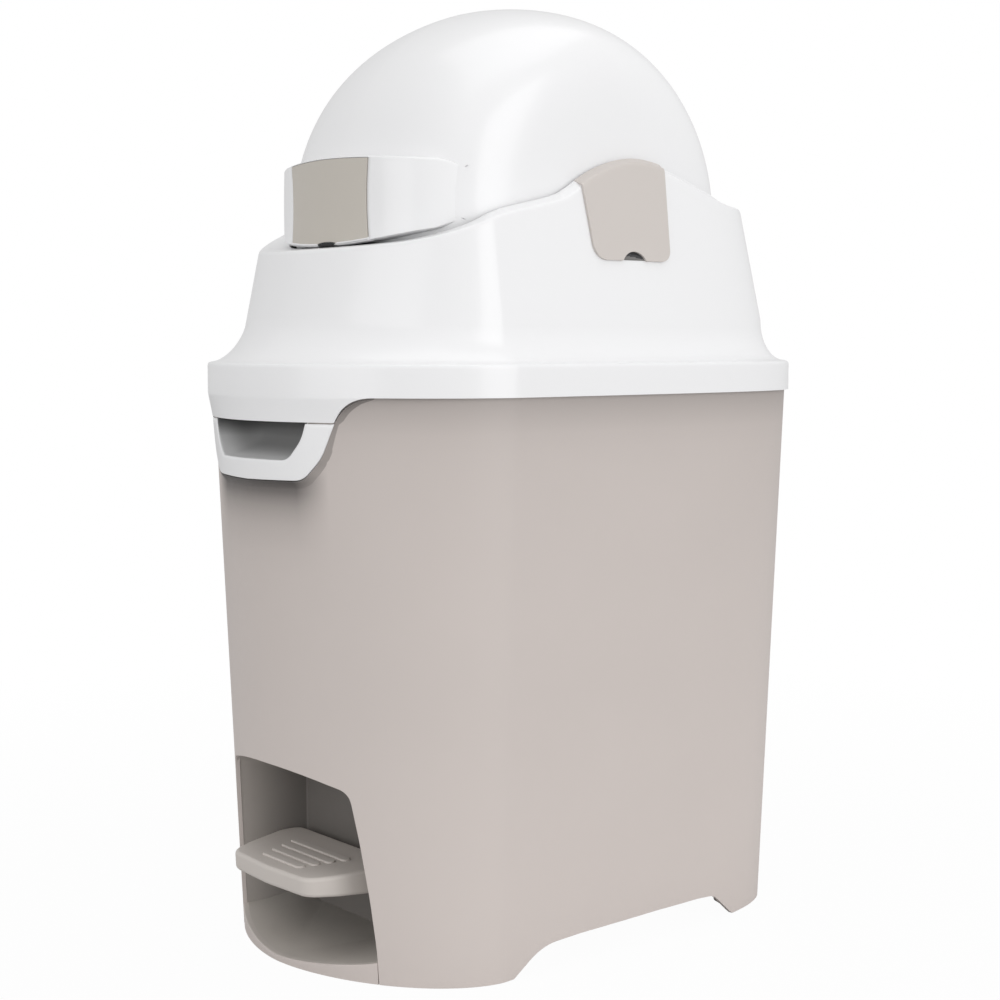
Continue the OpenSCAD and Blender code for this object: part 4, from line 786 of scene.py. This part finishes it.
fittings = bmesh.new()
for side in (-1, 1):
    z0, z1 = DRUM_Z - 17, DRUM_Z + 14
    prism([(side * 107.2, z0 + 3), (side * 107.2, z1), (side * (TOP[0] - side_inset(z1) - 0.8), z1),
           (side * (TOP[0] - side_inset(z0) - 0.8), z0)], "y", DRUM_Y - 15, DRUM_Y + 15, fittings)
    box_at(fittings, (min(side * 18, side * 22), SEAM - 104, BAND_Z + 2.5), (max(side * 18, side * 22), SEAM - 80, RIM + 14))
for x0, x1 in [(-49.6, -36.4), (36.4, 49.6)]:
    bar(fittings, 5.5, x0, x1, HINGE_Y, HINGE_Z)
    y0 = SEAM + 283.0
    prism([(HINGE_Y - 5.5, HINGE_Z), (HINGE_Y + 5.5, HINGE_Z), (HINGE_Y + 5.5, BAND_Z + 3), (y0 + 5, BAND_TOP - 3),
           (y0, BAND_TOP - 3), (y0, BAND_Z + 1), (HINGE_Y - 5.5, BAND_Z + 1)], "x", x0, x1, fittings)
to_piece(fittings, "hood_fittings", "head", white, bevel=0.7, weld=0)

# Side pads


def head_half(y, z, g):
    w, l = TOP[0] - side_inset(z) + g, TOP[2] - side_inset(z) + g
    return w * (1 - (abs(y - SEAM) / l) ** TAIL_POWER) ** (1 / TAIL_POWER)


PAD_T = 1.75
NOTCH_AT, NOTCH_R, NOTCH_DOWN = 0.9, 11.97, 6.27


def notch_rise(d):
    return max(0, math.sqrt(max(0, NOTCH_R ** 2 - (d - NOTCH_AT) ** 2)) - NOTCH_DOWN)


def pad_low(d):
    """Lower edge of a side pad at distance d from its middle: round corners and a half-round notch."""
    corner = PAD_W - abs(d)
    r = 11.0 if d < 0 else 8.0
    low = PAD_Z + (r - math.sqrt(max(0, r * r - max(0, r - corner) ** 2)))
    return low + notch_rise(d)


PAD_COLS = sorted(set([round(-33.5 + k * 0.9, 3) for k in range(75)] + [33.5, -9.3, 11.1, -9.1, 10.9, -8.7, 10.5, -33.3, 33.3,
                                                                         -32.8, 32.8, -31.8, 31.8]))


def side_pad(side):
    def point(i, r):
        d = PAD_COLS[i]
        lean = mix(0, 3.0 if d > 0 else -3.5, min(1, r / 12)) * abs(d) / PAD_W
        y = PAD_MID + d + lean
        e = lip_z(y)
        low = pad_low(d)
        if r <= 12:
            z = mix(low, e - 1.6, r / 12)
            return side * head_half(y, z, PAD_T), y, z
        if r <= 15:
            g, dz = [(PAD_T - 0.25, -0.4 + PAD_T * 0.4), (PAD_T - 1.0, PAD_T * 0.75), (PAD_T - 2.6, PAD_T * 0.9 + 0.3)][r - 13]
            return side * head_half(y, e, g), y, e + dz
        t = (r - 15) / 4
        x0, x1 = head_half(y, e, PAD_T - 2.6), DRUM_HALF + 2.4
        return side * mix(x0, x1, t), y, mix(e + PAD_T * 0.9 + 0.3, e + MOUTH_RISE + PAD_T * 0.8, t)

    to_piece(sheet(len(PAD_COLS) - 1, 19, point), "side_pad_" + ("left" if side < 0 else "right") + "_cover", "head",
             greige_trim, ["side_pad_" + ("left" if side < 0 else "right")], away=(0, PAD_MID, 420), thick=PAD_T - 0.1,
             bevel=0.55, angle=50)


side_pad(-1)
side_pad(1)


def pad_notch_shade(side):
    """Painted shade that shows through the half-round notch of a side pad: a dark sheet, lighter towards its lower
    edge.
    """
    def point(i, r):
        d = NOTCH_AT + (i / 16 - 1) * 10.0
        y = PAD_MID + d
        low = PAD_Z + 0.25
        high = PAD_Z + max(0.3, notch_rise(d)) + 1.0
        z = mix(low, high, r / 9)
        return side * head_half(y, z, 0.35), y, z

    hollow = to_piece(sheet(32, 9, point), "pad_notch_shade_" + ("left" if side < 0 else "right"), "head", painted_shade_dark,
                      away=(0, PAD_MID, 420), thick=0.8)
    hollow.data.materials.append(painted_shade_mid)
    hollow.data.materials.append(painted_shade_light)
    # Painted shade in three steps: lightest low down, darkest at the top
    for f in hollow.data.polygons:
        up = f.center.z * 1000 - PAD_Z + 0.12 * (f.center.y * 1000 - PAD_MID - NOTCH_AT)
        f.material_index = 2 if up < 2.2 else 1 if up < 3.9 else 0


pad_notch_shade(-1)
pad_notch_shade(1)

# Drum


def drum_reach(x, g=0.0):
    """Radius of the drum at x, grown by g."""
    return (DRUM_R + g) * max(0, 1 - (abs(x) / (DRUM_HALF + g)) ** CROWN_POWER) ** (1 / SHOULDER_POWER)


def drum_profile():
    half = []
    for k in range(41):
        t = math.radians(87.5 * k / 40)
        half.append((DRUM_HALF * math.sin(t) ** (2 / CROWN_POWER), DRUM_R * math.cos(t) ** (2 / SHOULDER_POWER)))
    for r in (45, 36, 26, 16, 9.0):
        half.append((DRUM_HALF * (1 - (r / DRUM_R) ** SHOULDER_POWER) ** (1 / CROWN_POWER), r))
    return [(-x, r) for x, r in reversed(half[1:])] + half


def drum_shell():
    bm = bmesh.new()
    verts = [bm.verts.new((x, DRUM_Y, DRUM_Z + r)) for x, r in drum_profile()]
    edges = [bm.edges.new(pair) for pair in zip(verts, verts[1:])]
    bmesh.ops.spin(bm, geom=verts + edges, cent=(0, DRUM_Y, DRUM_Z), axis=(1, 0, 0), angle=2 * math.pi, steps=160,
                   use_merge=True)
    return bm


def keep_above(bm, point, normal):
    geom = bm.verts[:] + bm.edges[:] + bm.faces[:]
    bmesh.ops.bisect_plane(bm, geom=geom, dist=0.001, plane_co=point, plane_no=normal, clear_inner=True)


dome_bm = drum_shell()
keep_above(dome_bm, (0, DRUM_Y, SPLIT_Z), (0, 0, 1))
to_piece(dome_bm, "dome_shell", "drum", white, ["dome"], away=(0, DRUM_Y, DRUM_Z), thick=2.4, bevel=0.5, angle=60)
scoop_bm = drum_shell()
keep_above(scoop_bm, (0, DRUM_Y, SPLIT_Z - 0.3), (0, 0, -1))
keep_above(scoop_bm, (0, DRUM_Y - 4, 0), (0, 1, 0))
to_piece(scoop_bm, "scoop_shell", "drum", white, ["scoop"], away=(0, DRUM_Y, DRUM_Z), thick=2.4, bevel=0.5, angle=60)

# Visor

VISOR_HALF, VISOR_END = 86.5, 89.6
PLATE_HALF = 42.0
GRIP_X, GRIP_HALF = 4.0, 10.0


def visor_low(x):
    return DRUM_Z - 22.4 + 11 * (abs(x) / 90) ** 2.1 + 3.5 * smooth((abs(x) - 79) / 11)


def visor_high(x):
    return DRUM_Z + 32.5 - 5.5 * (abs(x) / 90) ** 2 - 3.5 * smooth((abs(x) - 79) / 11)


def visor_face(x, z=DRUM_Z):
    """Front of the visor; its ends run out into the drum."""
    t = abs(x) / VISOR_HALF
    proud = 10.7 * (1 - t ** 7) if t < 0.97 else 10.7 * (1 - 0.97 ** 7) * (max(0, VISOR_END - abs(x)) / 5.7) ** 2
    r = drum_reach(x)
    s = math.sqrt(max(1, r * r - (z - DRUM_Z) ** 2))
    sunk = 0.15 + 1.4 * smooth((abs(x) - 84.5) / 5.1)
    return DRUM_Y - mix(r, s - sunk, min(1, t) ** 7) - proud


def bow(x, v):
    """The plate's ends are drawn in a little at half height."""
    return x - math.copysign(1.6 * (1 - (2 * v - 1) ** 2) * math.exp(-((abs(x) - PLATE_HALF) / 9) ** 2), x)


VISOR_X = sorted(set([VISOR_END * math.sin(math.radians(k * 2.5)) for k in range(-36, 37)]
                     + [s * (PLATE_HALF + d) for s in (-1, 1) for d in (0.0, 0.35, 0.7)]
                     + [GRIP_X + s * GRIP_HALF * d for s in (-1, 1) for d in (1.02, 0.985, 0.9, 0.6, 0.3)]))
FACE_ROWS = 12
PLATE_LOW, PLATE_HIGH = 0.5, 1.5


def notch(x):
    return 1.7 * math.sqrt(max(0, 1 - ((x - GRIP_X) / GRIP_HALF) ** 2))


def visor_point(i, r):
    """Rows run from the drum at the lower edge, round it, up the face with the plate's seat, and back at the top."""
    x = VISOR_X[i]
    z0, z1 = visor_low(x), visor_high(x)
    skin = lambda z: DRUM_Y - math.sqrt(max(1, drum_reach(x) ** 2 - (z - DRUM_Z) ** 2))
    low = [(z0 + 0.2, None), (z0, 0.45), (z0 + 0.1, 0.18), (z0 + 0.6, 0.03)]
    high = [(z1 - 0.9, 0.02), (z1 - 0.25, 0.14), (z1, 0.4), (z1 - 0.1, None)]
    seat_low, seat_high = z0 + PLATE_LOW + max(0, notch(x)), z1 - PLATE_HIGH
    if r < 4 or r >= 4 + 2 + FACE_ROWS + 2:
        z, t = low[r] if r < 4 else high[r - 4 - 4 - FACE_ROWS]
        f = visor_face(x, z)
        return x, skin(z) + 1.5 if t is None else mix(f, max(f + 0.01, skin(z) + 0.3), t), z
    r -= 4
    in_plate = abs(x) < PLATE_HALF + 0.5
    if r == 0:
        return bow(x, 0), visor_face(x, seat_low), seat_low - 0.05
    if r == FACE_ROWS + 3:
        return bow(x, 1), visor_face(x, seat_high), seat_high + 0.05
    v = (r - 1) / (FACE_ROWS + 1)
    z = mix(seat_low, seat_high, v)
    return bow(x, v), visor_face(x, z) + (2.2 if in_plate else 0), z


to_piece(sheet(len(VISOR_X) - 1, 4 + 4 + FACE_ROWS + 4 - 1, visor_point), "visor_band", "drum", white, ["visor"],
         face_to=(0, -600, DRUM_Z), thick=1.6, weld=0.01, even=False)

PLATE_X = sorted(set([PLATE_HALF * k / 24 for k in range(-24, 25)] 
                     + [GRIP_X + s * GRIP_HALF * d for s in (-1, 1) for d in (0.99, 0.96, 0.85)] + [-41.6, 41.6]))


def plate_point(i, r):
    x = PLATE_X[i]
    f = visor_face(x)
    v = r / 14
    z = mix(visor_low(x) + PLATE_LOW + 0.25 + max(0, notch(x)), visor_high(x) - PLATE_HIGH - 0.25, v)
    return bow(x, v) , f - 0.15, z


to_piece(sheet(len(PLATE_X) - 1, 14, plate_point), "visor_plate_cover", "drum", plate_grey, ["visor_plate"],
         face_to=(0, -600, DRUM_Z), thick=2.2, bevel=0.45, angle=60)



# A dark sheet across the notch at the foot of the visor plate: painted shade for the opening of the grip
def grip_shade_point(i, r):
    x = GRIP_X + (i / 10 - 1) * (GRIP_HALF + 0.4)
    return x, visor_face(x) - 0.05 + r * 0.02, visor_low(x) - 0.05 + (r / 4) * (PLATE_LOW + notch(x) + 0.35)


to_piece(sheet(20, 4, grip_shade_point), "visor_grip_shade", "drum", painted_shade_dark, face_to=(0, -600, DRUM_Z), thick=1.2)

# Finishes of the CAD pieces that show as they are

FINISH = {
    steel: ["bracket_screws", "cover_screws", "pedal_return_spring", "hinge_pins", "pedal_axle", "roller_pin", "axle_clips",
            "guide_screws", "axle_pin_left", "axle_pin_right", "catch_pin", "catch_spring", "scoop_screws"],
    nylon: ["lift_arm", "lift_roller", "lift_rod", "rod_foot", "drive_rack", "drive_pinion", "hub_bush_left",
            "hub_bush_right", "pedal_bracket_left", "pedal_bracket_right"],
    inner_white: ["bag_ring", "rack_guide", "rod_guide", "mechanism_cover"],
    rubber: ["rubber_feet", "odour_seal", "rim_gasket"],
    greige_trim: ["head_catch"],
}
for material, names in FINISH.items():
    for name in names:
        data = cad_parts[name].data
        data.materials.clear()
        data.materials.append(material)

# Floor, light and camera

floor_bm = bmesh.new()
bmesh.ops.create_grid(floor_bm, x_segments=8, y_segments=8, size=6)
floor_mesh = bpy.data.meshes.new("floor")
floor_bm.to_mesh(floor_mesh)
floor_bm.free()
floor = bpy.data.objects.new("floor", floor_mesh)
bpy.context.scene.collection.objects.link(floor)
floor.location.z = -0.0002

paper = bpy.data.materials.new("paper")
paper.use_nodes = True
nodes, links = paper.node_tree.nodes, paper.node_tree.links
diffuse = nodes["Principled BSDF"]
diffuse.inputs["Base Color"].default_value = (0.62, 0.62, 0.62, 1)
diffuse.inputs["Roughness"].default_value = 0.9
diffuse.inputs["Specular IOR Level"].default_value = 0.1
glow = nodes.new("ShaderNodeEmission")
glow.inputs["Color"].default_value = (1, 1, 1, 1)
lens = nodes.new("ShaderNodeLightPath")
geometry = nodes.new("ShaderNodeNewGeometry")
coord = nodes.new("ShaderNodeTexCoord")
far = nodes.new("ShaderNodeVectorMath")
far.operation = "LENGTH"
links.new(coord.outputs["Object"], far.inputs[0])
fade = nodes.new("ShaderNodeMapRange")
fade.inputs["From Min"].default_value, fade.inputs["From Max"].default_value = 0.35, 1.0
fade.inputs["To Min"].default_value, fade.inputs["To Max"].default_value = 0.97, 1.0
links.new(far.outputs["Value"], fade.inputs["Value"])
seen = nodes.new("ShaderNodeMath")
seen.operation = "MULTIPLY"
links.new(fade.outputs["Result"], seen.inputs[0])
links.new(lens.outputs["Is Camera Ray"], seen.inputs[1])
blend = nodes.new("ShaderNodeMixShader")
links.new(seen.outputs["Value"], blend.inputs["Fac"])
links.new(diffuse.outputs["BSDF"], blend.inputs[1])
links.new(glow.outputs["Emission"], blend.inputs[2])
clear = nodes.new("ShaderNodeBsdfTransparent")
under = nodes.new("ShaderNodeMixShader")
links.new(geometry.outputs["Backfacing"], under.inputs["Fac"])
links.new(blend.outputs["Shader"], under.inputs[1])
links.new(clear.outputs["BSDF"], under.inputs[2])
links.new(under.outputs["Shader"], nodes["Material Output"].inputs["Surface"])
floor_mesh.materials.append(paper)

world = bpy.data.worlds.new("studio")
world.use_nodes = True
bpy.context.scene.world = world
nodes, links = world.node_tree.nodes, world.node_tree.links
soft = nodes["Background"]
soft.inputs["Color"].default_value = (1, 1, 1, 1)
soft.inputs["Strength"].default_value = 0.64
back = nodes.new("ShaderNodeBackground")
back.inputs["Strength"].default_value = 1.0
back.inputs["Color"].default_value = (1, 1, 1, 1)
lens = nodes.new("ShaderNodeLightPath")
either = nodes.new("ShaderNodeMath")
either.operation = "MAXIMUM"
links.new(lens.outputs["Is Camera Ray"], either.inputs[0])
links.new(lens.outputs["Is Transmission Ray"], either.inputs[1])
pick = nodes.new("ShaderNodeMixShader")
links.new(either.outputs["Value"], pick.inputs["Fac"])
links.new(soft.outputs["Background"], pick.inputs[1])
links.new(back.outputs["Background"], pick.inputs[2])
links.new(pick.outputs["Shader"], nodes["World Output"].inputs["Surface"])


def softbox(name, at, target, size, power):
    light = bpy.data.lights.new(name, "AREA")
    light.shape, light.size, light.size_y, light.energy = "RECTANGLE", size[0], size[1], power
    lamp = bpy.data.objects.new(name, light)
    bpy.context.scene.collection.objects.link(lamp)
    lamp.location = at
    lamp.rotation_euler = (Vector(target) - Vector(at)).to_track_quat("-Z", "Y").to_euler()


softbox("key", (2.3, 0.25, 1.0), (0, 0, 0.3), (1.6, 2.0), 19)
softbox("fill", (0.2, -2.4, 0.8), (0, 0, 0.3), (1.6, 1.6), 9.5)
softbox("top", (0.1, 0.2, 2.4), (0, 0, 0.3), (2.0, 2.0), 9.6)

camera_data = bpy.data.cameras.new("camera")
camera_data.lens, camera_data.sensor_width, camera_data.clip_end = 66.56, 36, 50
camera = bpy.data.objects.new("camera", camera_data)
bpy.context.scene.collection.objects.link(camera)
camera.location = (0.9716, -0.79265, 0.3923)
camera.rotation_euler = (math.radians(90 - 4.998), 0, math.radians(50.664))
bpy.context.scene.camera = camera
bpy.context.scene.view_settings.view_transform = "Standard"
